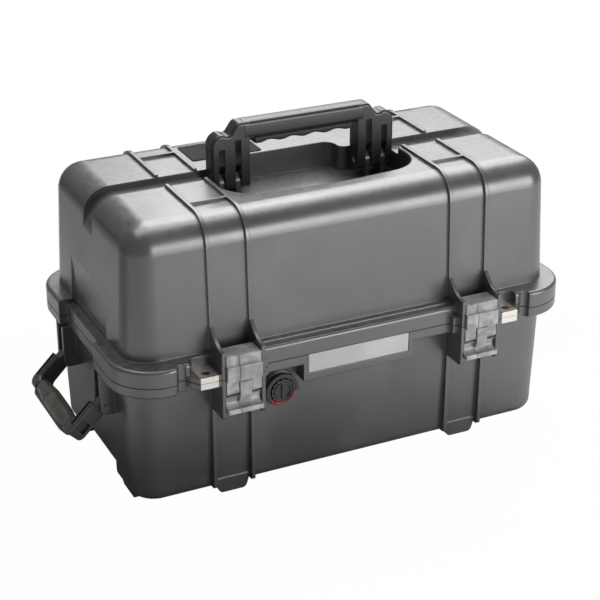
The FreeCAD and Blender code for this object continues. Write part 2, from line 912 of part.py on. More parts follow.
def make_lid_seal():
    """Round rubber seal in the lid's groove."""
    grow = seal_inset - wall
    seal_z = lid_bottom_z + groove_depth - seal_radius
    steps = rounded_rectangle(half_length + grow, half_width + grow, corner_radius + grow)
    path = path_wire(steps, lambda x, y: V(x, y, seal_z))
    start = path.Edges[0].firstVertex().Point
    along = path.Edges[0].tangentAt(path.Edges[0].FirstParameter)
    section = Part.Wire(Part.makeCircle(seal_radius, start, along))
    return path.makePipeShell([section], True, False)


def make_lever(middle):
    """Latch lever with a finger lip, a scooped face and a tongue between the hook's tabs."""
    half = latch_width / 2
    shoulder = lever_shoulder_z
    scoop_middle = (-latch_front + scoop_depth, (lever_bottom_z + lip_height + shoulder) / 2)
    body = [
        (-lip_front, lever_bottom_z),
        (-lip_front + latch_edge, lever_bottom_z + lip_height),
        (scoop_middle, (-latch_front, shoulder)),
        (-tab_back, shoulder),
        (-tab_back, lever_bottom_z + lip_height + latch_edge),
        (-latch_front + lever_wall, lever_bottom_z),
    ]
    plate = prism_x(body, middle - half, middle + half)
    tongue_start = middle - half + latch_width * tongue_start_share
    tongue_end = middle - half + latch_width * tongue_end_share
    tongue = [
        (-tongue_front, lever_bottom_z + lip_height + scoop_depth),
        (-lever_back - lever_wall, lever_bottom_z + lip_height + scoop_depth),
        (-lever_back, lever_pin_z - lever_wall),
        (-lever_back, lever_pin_z + lever_wall / 2),
        (-tab_back, hook_pin_z + tongue_end_radius),
        (-tongue_front, hook_pin_z + tongue_end_radius),
    ]
    web = prism_x(tongue, tongue_start, tongue_end)
    reach = rod(V(middle - half, -hook_pin_y, hook_pin_z), V(1, 0, 0), tongue_end_radius, latch_width)
    below = box((middle - half, middle + half), (-guard_y, -lever_back), (lever_bottom_z, hook_pin_z))
    root = box(
        (middle - half, middle + half),
        (-lever_pin_y - lever_pin_radius, -lever_back),
        (hook_pin_z, parting_z),
    )
    web = web.common(reach.fuse([below, root]))
    turning = rod(lever_pin_start(middle), V(1, 0, 0), lever_pin_radius + running_gap, lever_pin_length)
    seam = prism_x(body, tongue_start - slit, tongue_start)
    kept = seam.copy()
    kept.translate(V(0, slit_depth, 0))
    return plate.fuse(web).cut([turning, make_hook_pin(middle), seam.cut(kept)])


def make_hook(middle):
    """Latch hook: two tabs on the lever's pin, a raised row, a panel and a nose over the lid's flange."""
    half = latch_width / 2
    nose_low = flange_top_z + gap
    upper = [
        (-row_front, row_bottom_z),
        (-row_front, row_top_z - latch_edge),
        (-row_front + latch_edge, row_top_z),
        (-latch_front, row_top_z),
        (-latch_front, hook_top_z - latch_edge),
        (-latch_front + latch_edge, hook_top_z),
        (-nose_tip_y - latch_edge, hook_top_z),
        (-nose_tip_y, hook_top_z - latch_edge),
        (-nose_tip_y, nose_low),
        (-hook_back, nose_low),
        (-hook_back, row_bottom_z),
    ]
    hook = prism_x(upper, middle - half, middle + half)
    tab = [
        (-latch_front, hook_pin_z),
        (-latch_front, row_bottom_z + latch_edge),
        (-tab_back, row_bottom_z + latch_edge),
        (-tab_back, hook_pin_z),
    ]
    tongue_start = middle - half + latch_width * tongue_start_share - slit
    tongue_end = middle - half + latch_width * tongue_end_share + slit
    for start, end in ((middle - half, tongue_start), (tongue_end, middle + half)):
        eye = rod(V(start, -hook_pin_y, hook_pin_z), V(1, 0, 0), tab_end_radius, end - start)
        behind = box((start, end), (-tab_back, -flange_y), (lever_bottom_z, hook_pin_z + tab_end_radius))
        hook = hook.fuse(prism_x(tab, start, end)).fuse(eye.cut(behind))
    slit_x = (tongue_start, tongue_start + slit)
    ahead_y = -row_front - overrun
    row_slit = box(slit_x, (ahead_y, -row_front + slit_depth), (row_bottom_z - overrun, hook_top_z))
    panel_slit = box(slit_x, (ahead_y, -latch_front + slit_depth), (row_top_z, hook_top_z + overrun))
    hook = hook.cut([row_slit, panel_slit])
    bore_start = V(middle - half, -hook_pin_y, hook_pin_z)
    return hook.cut(rod(bore_start, V(1, 0, 0), hook_pin_radius + running_gap, latch_width))


def lever_pin_start(middle):
    """Point where a lever pin begins in its first guard."""
    return V(middle - lever_pin_length / 2, -lever_pin_y, lever_pin_z)


def make_lever_pin(middle):
    """Steel pin through the guards that the lever turns on."""
    return rod(lever_pin_start(middle), V(1, 0, 0), lever_pin_radius, lever_pin_length)


def make_hook_pin(middle):
    """Steel pin in the lever that the hook's tabs turn on."""
    start = V(middle - latch_width / 2, -hook_pin_y, hook_pin_z)
    return rod(start, V(1, 0, 0), hook_pin_radius, latch_width)


def make_handle_frame():
    """Top handle: two round-topped ears with clearance slots, notched shoulders and a bar for the grip."""
    inner_x = handle_inner_x
    half_y = handle_thickness / 2
    turns = [
        (0, handle_ear_rise, handle_ear_radius),
        (handle_ear_top_inset, handle_ear_top_rise, handle_ear_top_radius),
        (handle_notch_inset, handle_notch_rise, handle_notch_radius),
        (handle_shoulder_inset, handle_rise, handle_shoulder_radius),
    ]
    outline = [(inner_x, handle_pivot_z, 0), (handle_half_width, handle_pivot_z, 0)]
    outline += [(handle_half_width - inset, handle_pivot_z + rise, radius) for inset, rise, radius in turns]
    outline.append((inner_x, handle_top_z, 0))
    leg = prism_y(rounded_path(outline), -half_y, half_y)
    rims = []
    for edge in leg.Edges:
        bounds = edge.BoundBox
        inside = bounds.XMax < inner_x + gap or bounds.ZMax < handle_pivot_z + gap
        if bounds.YLength < gap and not inside:
            rims.append(edge)
    leg = leg.makeFillet(handle_edge, rims)
    eye = rod(V(inner_x, 0, handle_pivot_z), V(1, 0, 0), half_y, handle_leg_width)
    leg = leg.fuse(eye)
    slots = []
    for place, rise in ((lug_inner_x, inner_slot_rise), (lug_outer_x, outer_slot_rise)):
        x_range = (place - lug_side_gap, place + lid_lug_width + lug_side_gap)
        z_range = (handle_pivot_z - half_y - overrun, handle_pivot_z + rise)
        slots.append(box(x_range, (-handle_thickness, handle_thickness), z_range))
    bar = box((0, inner_x + overrun / 2), (-bar_depth / 2, bar_depth / 2), (bar_bottom_z, bar_top_z))
    right = leg.cut(slots).fuse(bar)
    frame = right.fuse(mirrored(right)).removeSplitter()
    bore = rod(V(inner_x, 0, handle_pivot_z), V(1, 0, 0), handle_pin_radius + running_gap, handle_leg_width)
    return frame.cut(on_both_ends([bore]))


def make_handle_grip():
    """Rubber sleeve on the handle's bar with finger waves underneath."""
    half = handle_inner_x
    sleeve = box((-half, half), (-grip_depth / 2, grip_depth / 2), (grip_bottom_z, grip_top_z))
    long_edges = [edge for edge in sleeve.Edges if edge.BoundBox.XLength > half]
    sleeve = sleeve.makeFillet(grip_edge, long_edges)
    waves = []
    for index in range(grip_wave_count):
        x = (index - (grip_wave_count - 1) / 2) * grip_wave_pitch
        z = grip_bottom_z + grip_wave_depth - grip_wave_radius
        waves.append(rod(V(x, -grip_depth, z), V(0, 1, 0), grip_wave_radius, 2 * grip_depth))
    bar = box((-half, half), (-bar_depth / 2, bar_depth / 2), (bar_bottom_z, bar_top_z))
    return sleeve.cut(waves + [bar])


def make_handle_pin():
    """Steel pin through the lid's lugs and the right-hand ear of the top handle."""
    start = V(handle_inner_x, 0, handle_pivot_z)
    return rod(start, V(1, 0, 0), handle_pin_radius, handle_leg_width)


def hang_left(shape, rest_deg):
    """Swing a left end handle outwards from hanging about its pivot line."""
    turned = shape.copy()
    turned.rotate(V(-end_pivot_x, 0, end_pivot_z), V(0, 1, 0), rest_deg)
    return turned


def make_end_frame():
    """End handle hanging on the left end: a deep U with eyes at the pivot and a round bar below."""
    outer_x = -end_pivot_x - end_arm_outer
    inner_x = -end_pivot_x + end_arm_inner
    half_outer = end_arm_y + end_arm_width / 2
    half_inner = end_arm_y - end_arm_width / 2
    low_z = end_pivot_z - end_arm_length - end_bar_radius
    bar_z = end_pivot_z - end_arm_length
    loop = rounded_path([
        (half_outer, end_pivot_z, 0),
        (-half_outer, end_pivot_z, 0),
        (-half_outer, low_z, end_corner_radius),
        (half_outer, low_z, end_corner_radius),
    ])
    frame = prism_x(loop, outer_x, inner_x)
    window_z = bar_z + end_bar_radius
    window = rounded_path([
        (half_inner, end_pivot_z + overrun, 0),
        (-half_inner, end_pivot_z + overrun, 0),
        (-half_inner, window_z, end_window_corner),
        (half_inner, window_z, end_window_corner),
    ])
    frame = frame.cut(prism_x(window, outer_x - overrun, inner_x + overrun))
    rims = []
    for edge in frame.Edges:
        bounds = edge.BoundBox
        if bounds.XMax < outer_x + gap and bounds.ZMin < end_pivot_z - gap:
            rims.append(edge)
    frame = frame.makeFillet(end_frame_edge, rims)
    half_grip = end_grip_length / 2
    grip_way = box((outer_x - overrun, inner_x + overrun), (-half_grip, half_grip), (0, window_z + gap))
    frame = frame.cut(grip_way)
    bar_x = (outer_x + inner_x) / 2
    frame = frame.fuse(rod(V(bar_x, -half_grip, bar_z), V(0, 1, 0), end_bar_radius, end_grip_length))
    for side in (-1, 1):
        centre = V(-end_pivot_x, side * end_arm_y - end_arm_width / 2, end_pivot_z)
        top = box(
            (outer_x - overrun, inner_x + overrun),
            (centre.y, centre.y + end_arm_width),
            (end_pivot_z - end_eye_radius, end_pivot_z + overrun),
        )
        eye = rod(centre, V(0, 1, 0), end_eye_radius, end_arm_width)
        neck = box(
            (-end_pivot_x - end_eye_radius, inner_x),
            (centre.y, centre.y + end_arm_width),
            (end_pivot_z - end_eye_radius * 2, end_pivot_z),
        )
        socket = box(
            (bar_x - end_socket_width / 2, bar_x + end_socket_width / 2),
            (side * (half_outer - end_socket_depth), side * (half_outer + overrun)),
            (bar_z + end_socket_rise - end_socket_width / 2, bar_z + end_socket_rise + end_socket_width / 2),
        )
        groove = box(
            (outer_x - overrun, outer_x + end_groove_depth),
            (side * end_arm_y - end_groove_width / 2, side * end_arm_y + end_groove_width / 2),
            (bar_z + end_bar_radius, end_pivot_z),
        )
        frame = frame.cut([top, groove]).fuse(neck.fuse(eye)).cut(socket)
        frame = frame.cut(end_pin_line(side, end_pin_radius + running_gap, 0))
    return frame


def make_end_grip():
    """Rubber sleeve with ring grooves on the end handle's bar."""
    bar_x = -end_pivot_x + (end_arm_inner - end_arm_outer) / 2
    bar_z = end_pivot_z - end_arm_length
    half = end_grip_length / 2
    swell = half * end_grip_swell_share
    upper = [(end_bar_radius, half), (end_grip_end_radius, half), (end_grip_radius, swell)]
    lower = [(radius, -place) for radius, place in reversed(upper)]
    steps = [(bar_x + radius, place) for radius, place in upper + lower]
    profile = Part.Face(path_wire(steps, lambda x, y: V(x, y, bar_z)))
    sleeve = profile.revolve(V(bar_x, 0, bar_z), V(0, 1, 0), 360)
    floor_radius = end_grip_radius - end_grip_groove
    for index in range(end_grip_groove_count):
        y = (index - (end_grip_groove_count - 1) / 2) * end_grip_groove_pitch - end_grip_groove_width / 2
        ring = rod(V(bar_x, y, bar_z), V(0, 1, 0), end_grip_radius + overrun, end_grip_groove_width)
        core = rod(V(bar_x, y, bar_z), V(0, 1, 0), floor_radius, end_grip_groove_width)
        sleeve = sleeve.cut(ring.cut(core))
    return sleeve


def make_end_pins():
    """Two headed pins in the left end's brackets."""
    pins = []
    for side in (-1, 1):
        pin = end_pin_line(side, end_pin_radius, 0)
        reach = end_arm_width / 2 + gap + ear_thickness
        head_y = side * end_arm_y + side * reach
        head = rod(V(-end_pivot_x, head_y, end_pivot_z), V(0, side, 0), end_pin_head_radius, end_pin_head)
        pins.append(pin.fuse(head))
    return Part.Compound(pins)


def valve_disc(outer_y, length, radius):
    """Disc on the valve's axis, from its front face inwards."""
    return rod(V(valve_x, -outer_y, valve_z), V(0, 1, 0), radius, length)


def make_valve_body():
    """Valve bush with an outer flange, a shank through the wall and a stub for the knob."""
    inside = half_width - wall - nut_height - wall
    body = valve_disc(valve_flange_y, valve_flange, valve_flange_radius)
    shank = valve_disc(valve_seat_y, valve_seat_y - inside, valve_shank_radius)
    stub = valve_disc(valve_flange_y + valve_stub, valve_stub, valve_stub_radius)
    return body.multiFuse([shank, stub, valve_hood()])


def valve_hood():
    """Lip that covers the upper part of the red ring and leaves its lower part in sight."""
    ring_way = 2 * valve_ring_section + gap
    height = ring_way + valve_hood_wall
    front_y = valve_flange_y + height
    hood = valve_disc(front_y, height, valve_flange_radius)
    hood = hood.cut(valve_disc(front_y, height, valve_knob_radius + 2 * gap))
    hood = hood.cut(valve_disc(valve_flange_y + ring_way, ring_way, valve_flange_radius - valve_hood_wall))
    reach = 2 * valve_flange_radius
    points = [(valve_x, valve_z)]
    open_deg = 360 - valve_hood_sweep_deg
    for step_share in (0, 0.5, 1):
        angle = math.radians(valve_hood_start_deg - open_deg * step_share)
        points.append((valve_x + reach * math.cos(angle), valve_z + reach * math.sin(angle)))
    return hood.cut(prism_y(points, -front_y - overrun, -valve_flange_y))


def make_valve_knob():
    """Knurled knob with a grooved face and a finger bar that turns on the valve's stub."""
    back_y = valve_flange_y + gap
    front_y = back_y + valve_knob_length
    knob = valve_disc(front_y, valve_knob_rim, valve_knob_radius)
    knob = knob.fuse(valve_disc(front_y, valve_knob_length, valve_knob_base_radius))
    cuts = []
    for index in range(valve_scallop_count):
        angle = 2 * math.pi * index / valve_scallop_count
        reach = valve_knob_radius + valve_scallop_radius / 2
        centre = V(valve_x + reach * math.cos(angle), -front_y, valve_z + reach * math.sin(angle))
        cuts.append(rod(centre, V(0, 1, 0), valve_scallop_radius, valve_knob_length))
    groove = valve_disc(front_y, valve_face_groove, valve_face_groove_radius)
    core = valve_disc(front_y, valve_face_groove, valve_face_groove_radius - valve_face_groove)
    cuts.append(groove.cut(core))
    bar = box(
        (valve_x - valve_bar_width / 2, valve_x + valve_bar_width / 2),
        (-front_y, -back_y),
        (valve_z - valve_dish_radius, valve_z + valve_dish_radius),
    )
    cuts.append(valve_disc(front_y, valve_dish_depth, valve_dish_radius).cut(bar))
    stub_y = valve_flange_y + valve_stub + gap
    cuts.append(valve_disc(stub_y, valve_stub + gap, valve_stub_radius + running_gap))
    return knob.cut(cuts)


def make_valve_o_ring():
    """Red sealing ring on the valve's flange, round the knob."""
    centre = V(valve_x, -valve_flange_y - valve_ring_section, valve_z)
    return Part.makeTorus(valve_ring_radius, valve_ring_section, centre, V(0, 1, 0))


def make_valve_nut():
    """Hexagonal nut that clamps the valve inside the base."""
    inner_y = half_width - wall - nut_back_gap
    draft = math.tan(math.radians(base_draft_deg)) * (parting_z - valve_z + nut_across / 2)
    points = []
    for index in range(6):
        angle = math.radians(60 * index)
        reach = nut_across / math.sqrt(3)
        points.append((valve_x + reach * math.cos(angle), valve_z + reach * math.sin(angle)))
    nut = prism_y(points, -inner_y + draft, -inner_y + draft + nut_height)
    return nut.cut(valve_disc(guard_y, guard_y, valve_shank_radius))


def make_nameplate():
    """Bare plate in the panel of the front boss."""
    return box(
        (gap - panel_half, panel_half - gap),
        (-flange_y + panel_depth - nameplate_thickness, -flange_y + panel_depth),
        (parting_z - panel_height + gap, parting_z - gap),
    )


def make_label():
    """Bare plate on the lid's top behind the handle."""
    x_range = (label_x, label_x + label_length)
    plate = box(x_range, (label_y, label_y + label_width), (lid_top_z, lid_top_z + label_thickness))
    upright = [edge for edge in plate.Edges if edge.BoundBox.ZLength > label_thickness / 2]
    return plate.makeFillet(label_corner, upright)


def hinge_pin():
    """Stainless pin of the right-hand hinge."""
    length = knuckle_middle + 2 * (knuckle_gap + knuckle_length)
    return rod(V(latch_x - length / 2, hinge_y, parting_z), V(1, 0, 0), hinge_pin_radius, length)


def save(name, shape):
    """Write one piece as its own file."""
    shape.exportStep(os.path.join("parts", name + ".step"))


def main():
    """Build every piece of the case and write it out."""
    os.makedirs("parts", exist_ok=True)
    save("base_shell", make_base_shell())
    save("lid_shell", make_lid_shell())
    save("lid_seal", make_lid_seal())
    save("top_handle_frame", make_handle_frame())
    save("top_handle_grip", make_handle_grip())
    save("front_nameplate", make_nameplate())
    save("lid_label", make_label())
    save("valve_body", make_valve_body())
    save("valve_knob", make_valve_knob())
    save("valve_o_ring", make_valve_o_ring())
    save("valve_nut", make_valve_nut())
    end_pieces = {"frame": make_end_frame(), "grip": make_end_grip(), "pins": make_end_pins()}
    for side, sign in SIDES.items():
        save(f"latch_{side}_lever", make_lever(sign * latch_x))
        save(f"latch_{side}_hook", make_hook(sign * latch_x))
        save(f"latch_{side}_lever_pin", make_lever_pin(sign * latch_x))
        save(f"latch_{side}_hook_pin", make_hook_pin(sign * latch_x))
        on_this_side = mirrored if sign < 0 else (lambda shape: shape)
        save(f"hinge_pin_{side}", on_this_side(hinge_pin()))
        save(f"top_handle_pin_{side}", on_this_side(make_handle_pin()))
        save(f"padlock_plate_lid_{side}", on_this_side(padlock_plate(lid_bottom_z)))
        save(f"padlock_plate_base_{side}", on_this_side(padlock_plate(parting_z - plate_thickness)))
        for piece, shape in end_pieces.items():
            if sign > 0:
                save(f"{side}_handle_{piece}", mirrored(shape))
            elif piece == "pins":
                save(f"{side}_handle_{piece}", shape)
            else:
                save(f"{side}_handle_{piece}", hang_left(shape, left_handle_rest_deg))


main()
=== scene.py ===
import json
import logging
import math
from dataclasses import dataclass, field
from enum import Enum
from typing import Any, Iterable, Optional, Sequence, Union

import bmesh
import bpy
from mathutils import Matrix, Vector


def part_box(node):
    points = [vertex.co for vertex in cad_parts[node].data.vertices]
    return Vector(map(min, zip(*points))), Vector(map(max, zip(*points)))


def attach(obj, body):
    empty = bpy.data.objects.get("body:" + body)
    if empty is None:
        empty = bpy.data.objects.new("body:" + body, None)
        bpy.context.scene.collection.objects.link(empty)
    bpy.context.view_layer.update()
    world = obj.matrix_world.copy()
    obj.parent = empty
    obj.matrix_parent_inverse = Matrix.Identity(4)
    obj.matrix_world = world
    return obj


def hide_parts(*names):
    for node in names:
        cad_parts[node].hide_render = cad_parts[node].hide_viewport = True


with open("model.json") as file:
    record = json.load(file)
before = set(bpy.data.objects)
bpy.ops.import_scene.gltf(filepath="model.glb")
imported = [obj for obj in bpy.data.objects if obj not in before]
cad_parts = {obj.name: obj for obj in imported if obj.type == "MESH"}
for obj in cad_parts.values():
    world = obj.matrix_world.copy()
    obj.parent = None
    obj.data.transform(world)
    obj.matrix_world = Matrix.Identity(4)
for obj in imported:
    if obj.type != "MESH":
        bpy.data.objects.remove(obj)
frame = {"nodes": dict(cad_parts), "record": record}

log = logging.getLogger("hard_case")
Colour = tuple[float, float, float]
Place = tuple[float, float, float]
Span = tuple[float, float]
MM = 0.001
EVEN = (1.0, 1.0, 1.0)
WHITE = (1.0, 1.0, 1.0, 1.0)
NOISE_MIDDLE = 0.5
EDGE_SAMPLES = 6
EDGE_SPAN = (0.02, 0.25)
MERGE_DISTANCE = 0.001 * MM
SHARP_ANGLE = math.radians(38.0)
SIDES = ("left", "right")


def grey(level: float) -> Colour:
    """Neutral colour of one level."""
    return (level, level, level)


def scaled(colour: Colour, gain: float, lift: float = 0.0) -> Colour:
    """Colour made brighter or darker, with an even lift."""
    return tuple(channel * gain + lift for channel in colour)


class Wire:
    """A value socket that takes part in Python arithmetic by adding Math nodes."""

    def __init__(self, bench: "NodeBench", socket: bpy.types.NodeSocket) -> None:
        """Wrap one output socket.

        Args:
            bench: the bench of the node tree.
            socket: the output socket to wrap.
        """
        self.bench = bench
        self.socket = socket

    def _math(self, operation: str, first: Any, second: Any = None) -> "Wire":
        """Add one Math node.

        Args:
            operation: the Math node's operation.
            first: first operand, a wire or a number.
            second: second operand, if the operation has one.

        Returns:
            The node's output as a wire.
        """
        inputs = {0: first} if second is None else {0: first, 1: second}
        return self.bench.wire(self.bench.node("ShaderNodeMath", {"operation": operation}, inputs))

    def __add__(self, other: Any) -> "Wire":
        """Sum of two values."""
        return self._math("ADD", self, other)

    __radd__ = __add__

    def __sub__(self, other: Any) -> "Wire":
        """Difference of two values."""
        return self._math("SUBTRACT", self, other)

    def __rsub__(self, other: Any) -> "Wire":
        """Difference with this value last."""
        return self._math("SUBTRACT", other, self)

    def __mul__(self, other: Any) -> "Wire":
        """Product of two values."""
        return self._math("MULTIPLY", self, other)

    __rmul__ = __mul__

    def __abs__(self) -> "Wire":
        """Value without its sign."""
        return self._math("ABSOLUTE", self)

    def at_least(self, other: Any) -> "Wire":
        """Larger of two values."""
        return self._math("MAXIMUM", self, other)

    def cosine(self) -> "Wire":
        """Cosine of an angle in radians."""
        return self._math("COSINE", self)

    def band(self, low: float, high: float) -> "Wire":
        """Rise smoothly from 0 to 1 between two values.

        Args:
            low: value that gives 0.
            high: value that gives 1.

        Returns:
            The remapped value.
        """
        settings = {"interpolation_type": "SMOOTHSTEP", "clamp": True}
        inputs = {"Value": self, "From Min": low, "From Max": high, "To Min": 0.0, "To Max": 1.0}
        return self.bench.wire(self.bench.node("ShaderNodeMapRange", settings, inputs))


class NodeBench:
    """One node tree and the few calls that fill it."""

    def __init__(self, tree: bpy.types.NodeTree) -> None:
        """Start from an empty tree.

        Args:
            tree: the node tree of a material, a world or a shape.
        """
        self.tree = tree
        tree.nodes.clear()

    def node(
        self, kind: str, settings: Optional[dict] = None, inputs: Optional[dict] = None
    ) -> bpy.types.Node:
        """Add a node, set it up and feed its sockets.

        Args:
            kind: the node's type name.
            settings: attributes to set first.
            inputs: socket name or number to a value, a socket or a wire.

        Returns:
            The new node.
        """
        made = self.tree.nodes.new(kind)
        for name, value in (settings or {}).items():
            setattr(made, name, value)
        for name, value in (inputs or {}).items():
            socket = made.inputs[name]
            if isinstance(value, Wire):
                self.tree.links.new(value.socket, socket)
            elif isinstance(value, bpy.types.NodeSocket):
                self.tree.links.new(value, socket)
            else:
                socket.default_value = value
        return made

    def wire(self, node: bpy.types.Node, output: Union[int, str] = 0) -> Wire:
        """Wrap one output of a node as a wire."""
        return Wire(self, node.outputs[output])

    def part_of(self, vector: bpy.types.NodeSocket, axis: str) -> Wire:
        """One axis of a vector, X, Y or Z."""
        return self.wire(self.node("ShaderNodeSeparateXYZ", None, {0: vector}), axis)


class ShaderBench(NodeBench):
    """One material's or world's node tree."""

    def place(self, stretch: Sequence[float] = EVEN) -> bpy.types.NodeSocket:
        """Object coordinates, stretched where a pattern runs one way.

        Args:
            stretch: scale on each axis.

        Returns:
            The vector output.
        """
        inputs = {"Vector": self.node("ShaderNodeTexCoord").outputs["Object"], "Scale": stretch}
        return self.node("ShaderNodeMapping", None, inputs).outputs["Vector"]

    def noise(
        self, scale: float, detail: float, stretch: Sequence[float] = EVEN, twist: float = 0.0
    ) -> Wire:
        """Soft noise over the piece.

        Args:
            scale: lumps per metre.
            detail: how many finer layers are added.
            stretch: scale on each axis.
            twist: distortion of the pattern.

        Returns:
            The noise value.
        """
        inputs = {"Vector": self.place(stretch), "Scale": scale, "Detail": detail}
        inputs["Distortion"] = twist
        return self.wire(self.node("ShaderNodeTexNoise", {"noise_dimensions": "3D"}, inputs))

    def blend(self, share: Wire, low: Any, high: Any) -> bpy.types.NodeSocket:
        """Mix two colours.

        Args:
            share: how much of the second colour shows.
            low: first colour, or a colour socket.
            high: second colour, or a colour socket.

        Returns:
            The mixed colour.
        """
        low = (*low, 1.0) if isinstance(low, tuple) else low
        high = (*high, 1.0) if isinstance(high, tuple) else high
        inputs = {"Factor": share, 6: low, 7: high}
        return self.node("ShaderNodeMix", {"data_type": "RGBA"}, inputs).outputs[2]

    def bump(
        self, height: Wire, distance: float, strength: float, under: Any = None
    ) -> bpy.types.NodeSocket:
        """Raise the surface by a height value.

        Args:
            height: the height pattern.
            distance: full height in metres.
            strength: share of the effect.
            under: normal that the bump lies on.

        Returns:
            The bumped normal.
        """
        inputs = {"Height": height, "Distance": distance, "Strength": strength}
        if under is not None:
            inputs["Normal"] = under
        return self.node("ShaderNodeBump", None, inputs).outputs["Normal"]

    def soft_edges(self, radius: float) -> tuple[bpy.types.NodeSocket, Wire]:
        """Rounded edge normals and a mask of where they differ from the flat faces.

        Args:
            radius: rounding radius in metres.

        Returns:
            The rounded normal, and the mask of edges.
        """
        rounded = self.node("ShaderNodeBevel", {"samples": EDGE_SAMPLES}, {"Radius": radius})
        face = self.node("ShaderNodeNewGeometry")
        pair = {0: rounded.outputs["Normal"], 1: face.outputs["Normal"]}
        likeness = self.node("ShaderNodeVectorMath", {"operation": "DOT_PRODUCT"}, pair)
        edge = 1 - self.wire(likeness, "Value")
        return rounded.outputs["Normal"], edge.band(*EDGE_SPAN)

    def surface(self, **inputs: Any) -> None:
        """End the tree in one principled surface.

        Args:
            inputs: socket names with underscores for blanks, and their values.
        """
        named = {name.replace("_", " "): value for name, value in inputs.items()}
        shader = self.node("ShaderNodeBsdfPrincipled", None, named)
        self.node("ShaderNodeOutputMaterial", None, {"Surface": shader.outputs["BSDF"]})


def new_bench(name: str) -> tuple[bpy.types.Material, ShaderBench]:
    """Make an empty node material.

    Args:
        name: the material's name.

    Returns:
        The material and its bench.
    """
    material = bpy.data.materials.new(name)
    material.use_nodes = True
    return material, ShaderBench(material.node_tree)


@dataclass(frozen=True)
class MouldedPlastic:
    """Dark moulded plastic with fine grain, cloudy sheen, hairline scuffs and pale rubbed edges."""

    name: str
    shade: Colour
    rubbed: Colour
    roughness: float
    grain_scale: float = 1500.0
    grain_detail: float = 2.0
    grain_height: float = 0.25 * MM
    grain_strength: float = 0.16
    scuff_share: float = 0.35
    scuff_dust: Span = (0.52, 0.68)
    scuff_cloud: Span = (0.45, 0.7)
    hair_scale: float = 26.0
    hair_detail: float = 3.0
    hair_stretch: Place = (1.0, 5.0, 3.0)
    hair_twist: float = 2.5
    hair_fineness: float = 900.0
    hair_span: Span = (0.0, 0.05)
    edge_radius: float = 0.9 * MM
    edge_share: float = 0.25
    edge_dust: Span = (0.35, 0.7)
    gloss: float = 0.75
    refraction: float = 1.5
    cloud_scale: float = 14.0
    cloud_detail: float = 5.0
    cloud_twist: float = 0.6
    cloud_gain: float = 1.25
    cloud_span: Span = (0.3, 0.75)
    cloud_sheen: float = 0.22
    dust_scale: float = 130.0
    dust_detail: float = 6.0
    dust_sheen: float = 0.1
    scuff_sheen: float = 0.2
    # Paling of faces that look up: partly dust, partly painted light from above.
    dust_and_top_light_share: float = 0.0
    dust_and_top_light_facing: Span = (0.55, 0.98)
    dust_and_top_light_span: Span = (0.25, 0.7)
    # Painted shadow of the parting gap: a near-black band at this height, with a rougher surface on
    # it.
    shadow_gap_height: float = 0.0
    shadow_gap_span: Span = (0.5 * MM, 0.95 * MM)
    shadow_gap_shade: Colour = (0.002, 0.002, 0.002)
    shadow_gap_share: float = 0.92
    shadow_gap_sheen: float = 0.5

    def scuffs(self, bench: ShaderBench, cloud: Wire, dust: Wire) -> Wire:
        """Mask of the hairline scuffs.

        Args:
            bench: the material's bench.
            cloud: broad noise that gathers the scuffs in patches.
            dust: fine noise that breaks them up.

        Returns:
            The share of rubbed colour.
        """
        lines = bench.noise(self.hair_scale, self.hair_detail, self.hair_stretch, self.hair_twist)
        off_line = lines - NOISE_MIDDLE
        hair = 1 - (off_line * off_line * self.hair_fineness).band(*self.hair_span)
        return hair * dust.band(*self.scuff_dust) * cloud.band(*self.scuff_cloud) * self.scuff_share

    def dust_and_top_light(self, bench: ShaderBench, dust: Wire) -> Wire:
        """Mask of the dusty haze on faces that look up: partly real dust, partly painted light from
        above.

        Args:
            bench: the material's bench.
            dust: fine noise that breaks it up.

        Returns:
            The share of rubbed colour.
        """
        upward = bench.part_of(bench.node("ShaderNodeTexCoord").outputs["Normal"], "Z")
        return upward.band(*self.dust_and_top_light_facing) * dust.band(*self.dust_and_top_light_span) * self.dust_and_top_light_share

    def painted_gap_shadow(self, bench: ShaderBench) -> Wire:
        """Mask of the painted shadow in the gap along the parting line, 1 on the line."""
        return 1 - abs(bench.part_of(bench.place(), "Z") - self.shadow_gap_height).band(*self.shadow_gap_span)

    def material(self) -> bpy.types.Material:
        """Build the finish.

        Returns:
            The material.
        """
        made, bench = new_bench(self.name)
        cloud = bench.noise(self.cloud_scale, self.cloud_detail, EVEN, self.cloud_twist)
        grain = bench.noise(self.grain_scale, self.grain_detail)
        dust = bench.noise(self.dust_scale, self.dust_detail)
        scuff = self.scuffs(bench, cloud, dust)
        rounded, edge = bench.soft_edges(self.edge_radius)
        worn = edge * dust.band(*self.edge_dust) * self.edge_share
        pale = scaled(self.shade, self.cloud_gain)
        tint = bench.blend(cloud.band(*self.cloud_span), self.shade, pale)
        colour = bench.blend((scuff + worn).band(0.0, 1.0), tint, self.rubbed)
        sheen = self.roughness + (cloud - NOISE_MIDDLE) * self.cloud_sheen
        sheen = sheen + (dust - NOISE_MIDDLE) * self.dust_sheen + scuff * self.scuff_sheen
        # Partly dust, partly painted top light: faces that look up are paled towards the rubbed
        # colour.
        if self.dust_and_top_light_share:
            colour = bench.blend(self.dust_and_top_light(bench, dust), colour, self.rubbed)
        # Painted shadow: the band at the parting line's height stands in for the shade in the gap
        # between lid and base.
        if self.shadow_gap_height:
            painted_gap_shadow = self.painted_gap_shadow(bench)
            colour = bench.blend(painted_gap_shadow * self.shadow_gap_share, colour, self.shadow_gap_shade)
            sheen = sheen + painted_gap_shadow * self.shadow_gap_sheen
        bench.surface(
            Base_Color=colour,
            Roughness=sheen,
            Normal=bench.bump(grain, self.grain_height, self.grain_strength, rounded),
            Specular_IOR_Level=self.gloss,
            IOR=self.refraction,
        )
        return made


